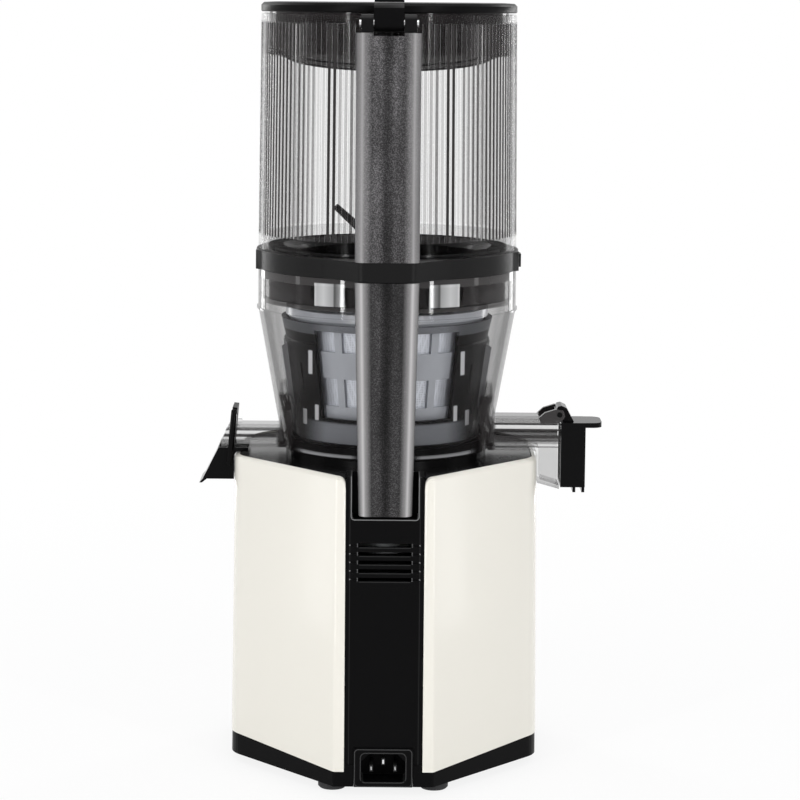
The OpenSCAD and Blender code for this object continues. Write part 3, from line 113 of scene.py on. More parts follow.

# Upright rounded rectangles whose outlines carry painted highlights: height of the middle, half
# width, half height, corner
SEAT = (0.1880, 0.0197, 0.0246, 0.0020)         # recess that the lower pillar stands in
INLET_RIM_HIGHLIGHT = (0.01625, 0.0168, 0.0111, 0.0022)
SOCKET_RIM_HIGHLIGHT = (0.01635, 0.0134, 0.0089, 0.0030)
# Painted highlights on the spine: its edge lines, and the vent slots' rims and ends
SPINE_EDGE_HIGHLIGHT = (0.0202, 0.0206)
VENTS = (0.1258, 0.1511)
VENT_START, VENT_PITCH = 0.125725, 0.00505
SLOT_END_HIGHLIGHT_SIDE, SLOT_END_HIGHLIGHT_HALF = (0.0157, 0.0162), 0.0011         # painted highlights at the ends of a vent slot
SILL_HIGHLIGHT_SIDE, SILL_HIGHLIGHT = 0.0150, (-0.0017, -0.0013)            # painted highlight along its lower rim, from its middle
DOT_HIGHLIGHT_SIDE, DOT_HIGHLIGHT_HALF = (0.0200, 0.0207), 0.0004           # painted highlight at the end of the line that carries it on
# Painted highlights on the faces of the inlet's contacts, the outer two and then the earth
CONTACT_HIGHLIGHT_SIDE, CONTACT_HIGHLIGHT = (0.0066, 0.0074), (0.0146, 0.0166)
EARTH_HIGHLIGHT_SIDE, EARTH_HIGHLIGHT = 0.0005, (0.0184, 0.0208)


# ---- Settings ----

def colour(label, text, value):
    return FloatVectorProperty(name=label, description=text, subtype="COLOR", size=3,
                               min=0, max=1, default=value)


def length(label, text, value, low=0.0, high=1.0):
    return FloatProperty(name=label, description=text, subtype="DISTANCE", unit="LENGTH",
                         min=low, max=high, default=value, precision=5)


class JuicerFinishes(bpy.types.PropertyGroup):
    housing: colour("Housing", "Gloss paint of the housing", (0.86, 0.83, 0.75))
    black: colour("Black", "Moulded black trim", (0.0035, 0.0034, 0.0036))
    smoke: colour("Smoke", "Smoky tint of the clear drum and hopper", (0.030, 0.027, 0.027))
    pillar: colour("Pillar", "Speckled rear pillars", (0.075, 0.072, 0.074))
    rim: colour("Pillar rim", "Lit upright edges of the pillars", (0.40, 0.39, 0.39))
    strainer: colour("Strainer", "Blue-grey strainer frame", (0.50, 0.515, 0.555))
    auger: colour("Auger", "Auger body", (0.035, 0.036, 0.040))


class JuicerSizes(bpy.types.PropertyGroup):
    flute_count: IntProperty(name="Flutes", description="Number of flutes round the hopper",
                             default=136, min=60, max=180)
    dark_grooves: IntVectorProperty(name="Dark grooves", size=4, default=(9, 10, -11, -10),
                                    description="First and last groove of the two dark pairs")
    flute_depth: length("Flute depth", "Depth of a groove between two flutes", 0.0007, 0, 0.002)
    flute_low: length("Flutes from", "Height at which the flutes' shade begins", 0.3228)
    flute_high: length("Flutes to", "Height at which the flutes' shade ends", 0.4495)
    ring_low: length("Ring shade from", "Height above which the lid's ring darkens the hopper",
                     0.4275)
    shell_edge: length("Shell edge", "Rounding of the housing's long edges", 0.0016, 0, 0.004)
    shell_corner: length("Shell corner", "Rounding of the panels' top corners beside the spine",
                         0.0045, 0, 0.008)
    shell_drop: length("Shell drop", "How far the panels reach down over the tray beside the spine",
                       0.0040, 0, 0.008)
    ring_drop: length("Ring drop", "How far the lid's outer ring reaches lower at the hinge",
                      0.0080, 0, 0.02)
    trim_edge: length("Trim edge", "Rounding of the small parts' edges", 0.0004, 0, 0.002)


class JuicerStage(bpy.types.PropertyGroup):
    distance: length("Distance", "From the auger axis to the camera", 1.597, 0.5, 5)
    height: length("Height", "Height of the camera", 0.4647, 0, 2)
    pitch: FloatProperty(name="Pitch", description="How far the camera looks down", unit="ROTATION",
                         default=math.radians(6.99))
    roll: FloatProperty(name="Roll", description="Lean of the camera", unit="ROTATION",
                        default=math.radians(0.474))
    lens: FloatProperty(name="Lens", description="Focal length in millimetres", default=118.56)
    shift_x: FloatProperty(name="Shift X", description="Sideways shift of the frame", default=0.015)
    shift_y: FloatProperty(name="Shift Y", description="Upward shift of the frame", default=-0.10)
    key: FloatProperty(name="Key light", description="Power of each softbox in watts", default=6.1)


# ---- Material tools ----

def principled(name, base, roughness, **sockets):
    mat = bpy.data.materials.new(name)
    mat.use_nodes = True
    bsdf = mat.node_tree.nodes["Principled BSDF"]
    bsdf.inputs["Base Color"].default_value = (*base, 1)
    bsdf.inputs["Roughness"].default_value = roughness
    for socket, value in sockets.items():
        bsdf.inputs[socket.replace("_", " ")].default_value = value
    return mat


def add_node(mat, kind, **values):
    node = mat.node_tree.nodes.new(kind)
    for key, value in values.items():
        if key in node.inputs:
            node.inputs[key].default_value = value
        else:
            setattr(node, key, value)
    return node


def link(mat, a, out, b, into):
    mat.node_tree.links.new(a.outputs[out], b.inputs[into])


def bsdf_of(mat):
    return mat.node_tree.nodes["Principled BSDF"]


def object_noise(mat, scale, detail=2.0, stretch=(1, 1, 1)):
    coords = add_node(mat, "ShaderNodeTexCoord")
    mapping = add_node(mat, "ShaderNodeMapping", Scale=stretch)
    noise = add_node(mat, "ShaderNodeTexNoise", Scale=scale, Detail=detail)
    link(mat, coords, "Object", mapping, "Vector")
    link(mat, mapping, "Vector", noise, "Vector")
    return noise


def object_parts(mat):
    """Node whose outputs X, Y and Z are the place on the piece."""
    parts = add_node(mat, "ShaderNodeSeparateXYZ")
    link(mat, add_node(mat, "ShaderNodeTexCoord"), "Object", parts, "Vector")
    return parts


def ramp(mat, source, out, stops):
    """Colour ramp through stops of a position and a grey or colour; returns its own pair."""
    node = add_node(mat, "ShaderNodeValToRGB")
    points = node.color_ramp.elements
    while len(points) < len(stops):
        points.new(0.5)
    for point, (place, shade) in zip(points, stops):
        point.position = place
        point.color = (*(shade if hasattr(shade, "__len__") else (shade,) * 3), 1)
    link(mat, source, out, node, "Fac")
    return node, "Color"


def calculate(mat, operation, *values):
    """Maths node on numbers or (node, output) pairs; returns its own such pair."""
    node = add_node(mat, "ShaderNodeMath", operation=operation)
    for i, value in enumerate(values):
        if isinstance(value, tuple):
            link(mat, *value, node, i)
        else:
            node.inputs[i].default_value = value
    return node, 0


def product(mat, *values):
    """All the values multiplied: where each of several masks is 1."""
    result = values[0]
    for value in values[1:]:
        result = calculate(mat, "MULTIPLY", result, value)
    return result


def largest(mat, *values):
    """The largest value: where any of several masks is 1."""
    result = values[0]
    for value in values[1:]:
        result = calculate(mat, "MAXIMUM", result, value)
    return result


def map_range(mat, source, low, high, to_low, to_high):
    node = add_node(mat, "ShaderNodeMapRange")
    limits = {"From Min": low, "From Max": high, "To Min": to_low, "To Max": to_high}
    for socket, value in limits.items():
        node.inputs[socket].default_value = value
    link(mat, *source, node, "Value")
    return node, "Result"


def between(mat, source, limits, soft=0.0003):
    """1 where a length lies between two values, with soft ends."""
    low, high = limits
    up = map_range(mat, source, low - soft, low + soft, 0, 1)
    down = map_range(mat, source, high - soft, high + soft, 1, 0)
    return product(mat, up, down)


def blend(mat, kind, factor, a, b):
    """Colour mix of two (node, output) pairs or plain colours; returns its own pair."""
    node = add_node(mat, "ShaderNodeMix", data_type="RGBA", blend_type=kind)
    for socket, value in ((0, factor), (6, a), (7, b)):
        if isinstance(value, tuple) and isinstance(value[0], bpy.types.Node):
            link(mat, *value, node, socket)
        elif socket:
            node.inputs[socket].default_value = (*value, 1)
        else:
            node.inputs[socket].default_value = value
    return node, 2


def set_socket(mat, source, socket):
    link(mat, *source, bsdf_of(mat), socket)


def scaled(shade, factor):
    return tuple(c * factor for c in shade)


def grain(mat, scale, strength, distance=0.0002, detail=3.0):
    noise = object_noise(mat, scale, detail)
    bump = add_node(mat, "ShaderNodeBump", Strength=strength, Distance=distance)
    link(mat, noise, "Fac", bump, "Height")
    set_socket(mat, (bump, "Normal"), "Normal")


def uneven_gloss(mat, scale, low, high):
    noise = object_noise(mat, scale)
    set_socket(mat, ramp(mat, noise, "Fac", [(0.3, low), (0.7, high)]), "Roughness")


def edge_alpha(mat, face, edge, power):
    """Clear plastic: sheer where it faces the eye, denser towards its rims."""
    layer = add_node(mat, "ShaderNodeLayerWeight", Blend=0.5)
    curve = calculate(mat, "POWER", (layer, "Facing"), power)
    spread = map_range(mat, curve, 0, 1, face, edge)
    set_socket(mat, spread, "Alpha")
    return spread


def frame_line(mat, parts, shape, width=0.0003):
    """1 along the outline of an upright rounded rectangle, 0 elsewhere."""
    middle, half_x, half_z, corner = shape
    across = calculate(mat, "SUBTRACT", calculate(mat, "ABSOLUTE", (parts, "X")), half_x - corner)
    rise = calculate(mat, "ABSOLUTE", calculate(mat, "SUBTRACT", (parts, "Z"), middle))
    rise = calculate(mat, "SUBTRACT", rise, half_z - corner)
    past = [calculate(mat, "POWER", calculate(mat, "MAXIMUM", part, 0.0), 2.0)
            for part in (across, rise)]
    outside = calculate(mat, "SQRT", calculate(mat, "ADD", *past))
    inside = calculate(mat, "MINIMUM", calculate(mat, "MAXIMUM", across, rise), 0.0)
    gap = calculate(mat, "SUBTRACT", calculate(mat, "ADD", outside, inside), corner)
    return map_range(mat, calculate(mat, "ABSOLUTE", gap), width * 0.6, width * 1.2, 1, 0)


def lined(mat, base, lines):
    """Base colour with thin lines, each of its own grey, over it."""
    tone = base
    for line, grey in lines:
        tone = blend(mat, "MIX", line, tone, (grey,) * 3)
    set_socket(mat, tone, "Base Color")


# ---- Materials ----

def fluted(name, base, sizes):
    """Clear plastic: a dark line in each groove, a painted highlight on each flute, dense at its
    rims.
    """
    mat = principled(name, base, 0.10, Specular_IOR_Level=0.25)
    parts = object_parts(mat)
    height = (parts, "Z")

    # Grooves are counted from the rear; across is 0 in a groove's middle and 0.5 on a flute's crest
    turn = calculate(mat, "ARCTAN2", (parts, "X"), (parts, "Y"))
    place = calculate(mat, "MULTIPLY", turn, sizes.flute_count / math.tau)
    groove = calculate(mat, "ROUND", place)
    across = calculate(mat, "ABSOLUTE", calculate(mat, "SUBTRACT", place, groove))

    # Facing of the smooth wall, not of each flute
    flat = add_node(mat, "ShaderNodeCombineXYZ")
    link(mat, parts, "X", flat, "X")
    link(mat, parts, "Y", flat, "Y")
    outward = add_node(mat, "ShaderNodeVectorMath", operation="NORMALIZE")
    link(mat, flat, 0, outward, 0)
    facing = add_node(mat, "ShaderNodeLayerWeight", Blend=0.5), "Facing"
    link(mat, outward, 0, facing[0], "Normal")

    # How dark each groove's line is: by chance in the middle, full where the wall turns away
    chance = add_node(mat, "ShaderNodeTexWhiteNoise", noise_dimensions="1D")
    link(mat, *groove, chance, "W")
    middle = ramp(mat, chance, "Value", [(0.0, 0.10), (0.5, 0.34), (0.8, 0.62), (1.0, 0.85)])
    turned = ramp(mat, *facing, [(0.14, 0.0), (0.27, 1.0), (0.70, 1.0), (0.78, 0.30), (1.0, 0.05)])
    fading = ramp(mat, *facing, [(0.70, 1.0), (0.80, 0.3)])
    strength = product(mat, largest(mat, middle, turned), fading)
    for first, last in sizes.dark_grooves[:2], sizes.dark_grooves[2:]:
        strength = largest(mat, strength, between(mat, groove, (first - 0.5, last + 0.5), 0.1))
    line = ramp(mat, *across, [(0.0, 1.0), (0.23, 1.0), (0.28, 0.3), (0.37, 0.0)])
    far_side = map_range(mat, (parts, "Y"), -0.02, 0.02, 0.30, 1.0)
    near = product(mat, far_side, outer_side(mat, flat, height))
    band = between(mat, height, (sizes.flute_low, sizes.flute_high))
    grooves = product(mat, line, strength, band, near)

    # The wall's density by its facing, made denser behind the lid's ring by painted shade, and
    # denser at its foot
    body = ramp(mat, *facing, [(0.0, 0.02), (0.25, 0.035), (0.37, 0.09), (0.6, 0.12), (0.75, 0.20),
                               (0.88, 0.22), (1.0, 0.08)])
    behind = ramp(mat, *facing, [(0.0, 0.02), (0.18, 0.04), (0.32, 0.25), (0.75, 0.28), (0.9, 0.2),
                                 (1.0, 0.08)])
    ring = map_range(mat, height, sizes.ring_low, sizes.ring_low + 0.003, 0, 1)
    foot = map_range(mat, height, sizes.flute_low - 0.001, sizes.flute_low + 0.001, 0.8, 0)
    body = largest(mat, body, product(mat, behind, largest(mat, ring, foot)))

    # Painted highlight: a pale line along each flute's crest, mixed into the base colour
    glint = ramp(mat, *across, [(0.38, 0.0), (0.44, 1.0), (0.50, 1.0)])
    glint = product(mat, glint, band, near)
    set_socket(mat, largest(mat, body, grooves, product(mat, glint, 0.30)), "Alpha")
    set_socket(mat, blend(mat, "MIX", glint, base, (0.30, 0.29, 0.29)), "Base Color")
    return mat


def outer_side(mat, flat, height):
    """1 on the outer surface of the tapering hopper, 0 on the inner one."""
    low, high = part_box("hopper_wall")
    radius = add_node(mat, "ShaderNodeVectorMath", operation="LENGTH")
    link(mat, flat, 0, radius, 0)
    inset = HOPPER_WALL - 0.001     # deeper than the grooves, short of the inner surface
    middle = map_range(mat, height, low.z, high.z, high.x - inset, HOPPER_RIM_R - inset)
    return calculate(mat, "GREATER_THAN", (radius, "Value"), middle)


def clear_from(name, base, height, sheer):
    """Black moulding whose part above a height is clear."""
    mat = principled(name, base, 0.12, Specular_IOR_Level=0.10)
    above = calculate(mat, "GREATER_THAN", (object_parts(mat), "Z"), height)
    set_socket(mat, ramp(mat, *above, [(0.0, 1.0), (1.0, sheer)]), "Alpha")
    return mat


def drum_plastic(name, f):
    """Smoky clear drum: black lip and ports, pale lugs at the rear partly in painted light, spouts
    with painted shade lines, a painted highlight at the foot.
    """
    mat = principled(name, f.smoke, 0.03, Specular_IOR_Level=0.35)
    spread = edge_alpha(mat, 0.08, 0.80, 2.2)
    parts = object_parts(mat)
    side = calculate(mat, "ABSOLUTE", (parts, "X"))
    height = (parts, "Z")
    rear = calculate(mat, "GREATER_THAN", (parts, "Y"), 0.0)

    lip = between(mat, height, DRUM_LIP)
    step = between(mat, height, DRUM_STEP)
    port = product(mat, between(mat, side, PORT_SIDE, 0.0015), between(mat, height, PORT, 0.002))

    # Painted shade lines across the spouts, from the lower wall to the upper one
    spout = product(mat, between(mat, side, SPOUT_SIDE), between(mat, height, SPOUT))
    rise = map_range(mat, height, *SPOUT_SHADE_HEIGHTS, 0, 1)
    juice = ramp(mat, *rise, [
        (0.0, 0.13), (0.25, 0.13), (0.27, 0.65), (0.29, 0.06), (0.33, 0.06), (0.35, 0.35),
        (0.39, 0.40), (0.41, 0.60), (0.46, 0.65), (0.49, 0.90), (0.53, 0.90), (0.56, 0.12),
        (0.645, 0.10), (0.66, 0.85), (0.68, 0.85), (0.70, 0.08), (0.78, 0.06), (0.81, 0.45)])
    pulp = ramp(mat, *rise, [
        (0.0, 0.30), (0.09, 0.15), (0.11, 0.85), (0.19, 0.85), (0.22, 0.06), (0.45, 0.05),
        (0.47, 0.85), (0.51, 0.85), (0.54, 0.12)])
    pulp_side = calculate(mat, "GREATER_THAN", (parts, "X"), 0.0)
    streaks = product(mat, blend(mat, "MIX", pulp_side, juice, pulp), spout)

    # Lugs painted on the wall at the rear, with painted light: a pale tone and bright lines across
    # each
    lug_and_highlights = product(mat, between(mat, side, LUG_SIDE), between(mat, height, LUG), rear)
    across_lug = map_range(mat, side, *LUG_SIDE, 0, 1)
    grey = ramp(mat, *across_lug, [
        (0.0, 0.15), (0.10, 0.70), (0.22, 0.26), (0.34, 0.08), (0.40, 0.42), (0.70, 0.62),
        (0.90, 0.46), (1.0, 0.60)])
    # Painted highlight: a pale line along the rear of the drum's foot
    foot = product(mat, between(mat, side, FOOT_HIGHLIGHT_SIDE, 0.003), between(mat, height, FOOT_HIGHLIGHT), rear)
    bracket = product(mat, calculate(mat, "LESS_THAN", (parts, "X"), BRACKET_X),
                      calculate(mat, "GREATER_THAN", height, BRACKET))

    tone = blend(mat, "MIX", lug_and_highlights, f.smoke, grey)
    set_socket(mat, blend(mat, "MIX", foot, tone, (0.42, 0.42, 0.43)), "Base Color")
    densities = ((lip, 0.97), (step, 0.75), (port, 0.85), (lug_and_highlights, 0.88), (foot, 0.90),
                 (bracket, 0.96))
    solid = [product(mat, mask, density) for mask, density in densities]
    set_socket(mat, largest(mat, spread, streaks, *solid), "Alpha")
    return mat


def cage_plastic(name, f):
    """Black cage with a greyer crown and bowl, and painted highlights round its rear windows."""
    mat = principled(name, f.black, 0.36, Specular_IOR_Level=0.06)
    parts = object_parts(mat)
    side = calculate(mat, "ABSOLUTE", (parts, "X"))
    height = (parts, "Z")
    above = calculate(mat, "GREATER_THAN", height, CAGE_CROWN)
    crown = product(mat, above, map_range(mat, side, 0.034, 0.045, 1, 0))
    bowl = product(mat, between(mat, height, CAGE_BOWL, 0.0008),
                   map_range(mat, side, 0.036, 0.050, 1, 0))
    tone = f.black
    for mask, share in ((above, 0.20), (crown, 0.46), (bowl, 0.50)):
        tone = blend(mat, "MIX", mask, tone, scaled(f.strainer, share))
    # Painted highlights: pale patches at the rear of the cage
    painted_glints = [product(mat, between(mat, side, across), between(mat, height, up))
            for across, up in CAGE_GLINTS]
    painted_glints = product(mat, largest(mat, *painted_glints), calculate(mat, "GREATER_THAN", (parts, "Y"), 0.0))
    set_socket(mat, blend(mat, "MIX", painted_glints, tone, (0.75, 0.75, 0.76)), "Base Color")
    return mat


def spine_plastic(name, f):
    """Satin black spine with painted highlights on the outline of the seat, the edge lines and the
    slots' rims.
    """
    mat = principled(name, f.black, 0.34, Specular_IOR_Level=0.04)
    parts = object_parts(mat)
    side = calculate(mat, "ABSOLUTE", (parts, "X"))
    # Painted highlights: the vent slots' ends, lower rims and dots, the spine's edge lines and the
    # seat's outline
    band = between(mat, (parts, "Z"), VENTS)
    row = calculate(mat, "MODULO", calculate(mat, "SUBTRACT", (parts, "Z"), VENT_START), VENT_PITCH)
    row = calculate(mat, "SUBTRACT", row, VENT_PITCH / 2)
    off_middle = calculate(mat, "ABSOLUTE", row)
    clip = product(mat, between(mat, side, SLOT_END_HIGHLIGHT_SIDE, 0.0001),
                   calculate(mat, "LESS_THAN", off_middle, SLOT_END_HIGHLIGHT_HALF), band)
    sill_highlight = product(mat, between(mat, row, SILL_HIGHLIGHT, 0.0001), band,
                   calculate(mat, "LESS_THAN", side, SILL_HIGHLIGHT_SIDE))
    dot_highlight = product(mat, calculate(mat, "LESS_THAN", off_middle, DOT_HIGHLIGHT_HALF),
                  between(mat, side, DOT_HIGHLIGHT_SIDE, 0.0001), band)
    edge = between(mat, side, SPINE_EDGE_HIGHLIGHT, 0.0002)
    seat_highlight = frame_line(mat, parts, SEAT)
    lined(mat, f.black, ((edge, 0.022), (seat_highlight, 0.20), (sill_highlight, 0.035), (clip, 0.12), (dot_highlight, 0.30)))
    grain(mat, 2600, 0.12)
    return mat


def inlet_plastic(name, f):
    """Black inlet with painted highlights round the rims of its frame and socket."""
    mat = principled(name, f.black, 0.34, Specular_IOR_Level=0.04)
    parts = object_parts(mat)
    # Painted highlights round the frame and the socket
    lined(mat, f.black, ((frame_line(mat, parts, INLET_RIM_HIGHLIGHT), 0.055),
                         (frame_line(mat, parts, SOCKET_RIM_HIGHLIGHT), 0.045)))
    grain(mat, 2600, 0.12)
    return mat


def contact_metal(name):
    """Dark contacts, each with a painted highlight on a narrow face."""
    dark = (0.02, 0.02, 0.02)
    mat = principled(name, dark, 0.40, Specular_IOR_Level=0.10)
    parts = object_parts(mat)
    side = calculate(mat, "ABSOLUTE", (parts, "X"))
    # Painted highlights: a pale strip on each contact's face
    outer = product(mat, between(mat, side, CONTACT_HIGHLIGHT_SIDE, 0.0001),
                    between(mat, (parts, "Z"), CONTACT_HIGHLIGHT))
    earth_highlight = product(mat, calculate(mat, "LESS_THAN", side, EARTH_HIGHLIGHT_SIDE),
                    between(mat, (parts, "Z"), EARTH_HIGHLIGHT))
    lined(mat, dark, ((outer, 0.50), (earth_highlight, 0.85)))
    return mat


def speckled(name, f, depth, taper, yoke=1.0, rim=1.0):
    """Dark plastic with fine flakes, and a painted highlight down each upright rim.

    taper holds the half width of the pillar at two heights; it is plain black above the yoke.
    """
    mat = principled(name, f.pillar, 0.22, Specular_IOR_Level=0.10)
    parts = object_parts(mat)
    half = map_range(mat, (parts, "Z"), *taper)
    side = calculate(mat, "DIVIDE", calculate(mat, "ABSOLUTE", (parts, "X")), half)
    flakes = object_noise(mat, 2300, 0.0)
    streaks = object_noise(mat, 60, 3.0, (2.0, 2.0, 0.25))
    shares = (0.30, 0.45), (0.52, 0.9), (0.70, 2.2)
    middle = ramp(mat, flakes, "Fac",
                  [(at, scaled(f.pillar, share * depth)) for at, share in shares])
    tone = ramp(mat, streaks, "Fac", [(0.30, 0.55), (0.70, 1.35)])
    line = ramp(mat, *side, [(0.0, 0.42), (0.10, 0.55), (0.22, 1.1), (0.40, 1.05), (0.53, 0.7),
                             (0.62, 1.0)])
    # Painted highlight: the rim colour laid down each upright rim
    glow = ramp(mat, *side, [(0.0, 0.0), (0.50, 0.02), (0.60, 0.16), (0.72, 0.38), (0.80, 0.80),
                             (0.86, 0.55), (0.94, 0.36), (1.0, 0.10)])
    body = blend(mat, "MULTIPLY", 1.0, blend(mat, "MULTIPLY", 1.0, middle, tone), line)
    lit = blend(mat, "MIX", glow, body, scaled(f.rim, rim))
    above = calculate(mat, "GREATER_THAN", (parts, "Z"), yoke)
    set_socket(mat, blend(mat, "MIX", above, lit, f.black), "Base Color")
    return mat


def honeycomb(name, base):
    """Fine metal mesh: pale wires round hexagonal openings."""
    mat = principled(name, tuple(min(1.0, c) for c in scaled(base, 1.6)), 0.35, Metallic=0.3)
    coords = add_node(mat, "ShaderNodeTexCoord")
    cells = add_node(mat, "ShaderNodeTexVoronoi", Scale=700, Randomness=0.12,
                     feature="DISTANCE_TO_EDGE")
    link(mat, coords, "Object", cells, "Vector")
    set_socket(mat, ramp(mat, cells, "Distance", [(0.10, 1.0), (0.22, 0.74)]), "Alpha")
    return mat


def make_materials():
    f = bpy.context.scene.juicer_finishes
    m = {}
    m["housing"] = principled("housing_gloss_paint", f.housing, 0.24,
                              Coat_Weight=0.35, Coat_Roughness=0.08)
    grain(m["housing"], 900, 0.03)
    m["black"] = principled("black_satin_plastic", f.black, 0.34, Specular_IOR_Level=0.04)
    grain(m["black"], 2600, 0.12)
    uneven_gloss(m["black"], 60, 0.30, 0.38)
    m["spine"] = spine_plastic("spine_satin_plastic", f)
    m["inlet"] = inlet_plastic("inlet_black_plastic", f)
    m["contacts"] = contact_metal("inlet_contacts")
    m["gloss"] = principled("black_gloss_plastic", f.black, 0.07, Specular_IOR_Level=0.06)
    uneven_gloss(m["gloss"], 30, 0.05, 0.09)
    m["deck"] = principled("deck_black_plastic", f.black, 0.24, Specular_IOR_Level=0.10)
    uneven_gloss(m["deck"], 40, 0.20, 0.28)
    m["drum"] = drum_plastic("drum_smoky_plastic", f)
    m["dark"] = principled("dark_smoke_plastic", f.smoke, 0.08, Specular_IOR_Level=0.1)
    edge_alpha(m["dark"], 0.80, 0.97, 2.0)
    m["floor"] = clear_from("hopper_floor_plastic", f.black, FLOOR_RIM, 0.10)
    m["cage"] = cage_plastic("cage_plastic", f)
    m["hopper"] = fluted("hopper_fluted_plastic", f.smoke, bpy.context.scene.juicer_sizes)
    m["upper_pillar"] = speckled("upper_pillar_plastic", f, 1.0, UPPER_TAPER, YOKE)
    m["lower_pillar"] = speckled("lower_pillar_plastic", f, 0.42, LOWER_TAPER, rim=1.6)
    m["collar"] = principled("black_speckled_collar", f.black, 0.40, Specular_IOR_Level=0.14)
    grain(m["collar"], 1400, 0.35, 0.0003)
    m["strainer"] = principled("strainer_blue_grey", f.strainer, 0.28, Coat_Weight=0.2)
    grain(m["strainer"], 700, 0.06)
    m["mesh"] = honeycomb("strainer_fine_mesh", f.strainer)
    m["auger"] = principled("auger_moulding", f.auger, 0.32)
    grain(m["auger"], 900, 0.08)
    m["steel"] = principled("bright_steel", (0.72, 0.72, 0.73), 0.16, Metallic=1.0)
    uneven_gloss(m["steel"], 200, 0.12, 0.24)
    m["motor_steel"] = principled("motor_steel", (0.42, 0.43, 0.44), 0.38, Metallic=0.9)
    uneven_gloss(m["motor_steel"], 120, 0.32, 0.46)
    m["gear"] = principled("gear_nylon", (0.80, 0.78, 0.70), 0.45)
    grain(m["gear"], 800, 0.1)
    m["rubber"] = principled("soft_rubber", (0.016, 0.016, 0.017), 0.72)
    grain(m["rubber"], 1800, 0.3)
    m["silicone"] = principled("silicone_seal", (0.30, 0.30, 0.31), 0.55)
    grain(m["silicone"], 1200, 0.12)
    m["board"] = principled("circuit_board", (0.012, 0.075, 0.035), 0.45)
    grain(m["board"], 500, 0.2)
    return m


# ---- Pieces ----

def paint(material, *nodes):
    for name in nodes:
        node = NODES[name]
        node.data.materials.clear()
        node.data.materials.append(material)


def shade(mesh, angle=35):
    mesh.shade_smooth()
    mesh.set_sharp_from_angle(angle=math.radians(angle))


def new_piece(name, bm, body, material, replaces=(), angle=35):
    mesh = bpy.data.meshes.new(name)
    bm.to_mesh(mesh)
    bm.free()
    mesh.materials.append(material)
    shade(mesh, angle)
    piece = bpy.data.objects.new(name, mesh)
    bpy.context.scene.collection.objects.link(piece)
    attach(piece, body)
    if replaces:
        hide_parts(*replaces)
    return piece


def merged_copy(node):
    bm = bmesh.new()
    bm.from_mesh(NODES[node].data)
    bmesh.ops.remove_doubles(bm, verts=bm.verts, dist=MERGE)
    bmesh.ops.dissolve_degenerate(bm, edges=bm.edges, dist=MERGE / 2)
    bmesh.ops.dissolve_limit(bm, angle_limit=FLAT, verts=bm.verts, edges=bm.edges)
    return bm


def housing_copy(corner, drop):
    """The housing, with its stepped top edge drawn into one curve and its rear corners rounded.

    Beside the spine the panels' foot is drawn down over the tray.
    """
    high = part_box("body_shell")[1]
    bm = bmesh.new()
    bm.from_mesh(NODES["body_shell"].data)
    bmesh.ops.remove_doubles(bm, verts=bm.verts, dist=MERGE)
    steps = 0.0026          # the top edge's steps lie within this of its highest
    upright = 3e-5          # a riser leans less than this
    risers = [e for e in bm.edges
              if min(v.co.z for v in e.verts) > high.z - steps
              and (e.verts[0].co.xy - e.verts[1].co.xy).length < upright]
    bmesh.ops.collapse(bm, edges=risers)
    bmesh.ops.dissolve_limit(bm, angle_limit=FLAT, verts=bm.verts, edges=bm.edges)

    # Cuts beside the slot for the spine, for the points that round the corners
    slot = min(abs(v.co.x) for v in bm.verts if v.co.y > high.y - 0.004 and v.co.z > high.z - 0.03)
    for side in (1, -1):
        for part in (0.1, 0.25, 0.45, 0.7, 1.0):
            near = [g for g in (*bm.verts, *bm.edges, *bm.faces) if g.is_valid]
            place = (side * (slot + corner * part), 0, 0)
            bmesh.ops.bisect_plane(bm, geom=near, plane_co=place, plane_no=(1, 0, 0))

    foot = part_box("base_tray")[1].z
    rear = 0.05             # the panels beside the spine lie behind this
    flare = 0.38            # how much the panels spread for each metre further down
    for v in bm.verts:
        gone = 1 - (abs(v.co.x) - slot) / corner
        if v.co.y > rear and v.co.z > high.z - 0.004 and 0 < gone < 1.2:
            v.co.z -= corner * (1 - math.sqrt(max(0.0, 1 - min(gone, 1.0) ** 2)))
        if v.co.y > rear and abs(v.co.z - foot) < 0.0003:
            down = drop * (v.co.y - rear) / (high.y - rear)
            spread = 1 + down * flare
            v.co = (v.co.x * spread, v.co.y * spread, v.co.z - down)
    bmesh.ops.recalc_face_normals(bm, faces=bm.faces)
    return bm


def edged(node, material, width, segments=2, angle=40, shape=None):
    """A node's own shape with its hard edges rounded."""
    piece = new_piece(node + "_edged", shape or merged_copy(node), NODES[node]["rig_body"],
                      material, (node,), angle)
    bevel = piece.modifiers.new("edges", "BEVEL")
    bevel.width = width
    bevel.segments = segments
    bevel.limit_method = "ANGLE"
    bevel.angle_limit = math.radians(angle)
    bevel.harden_normals = True
    return piece


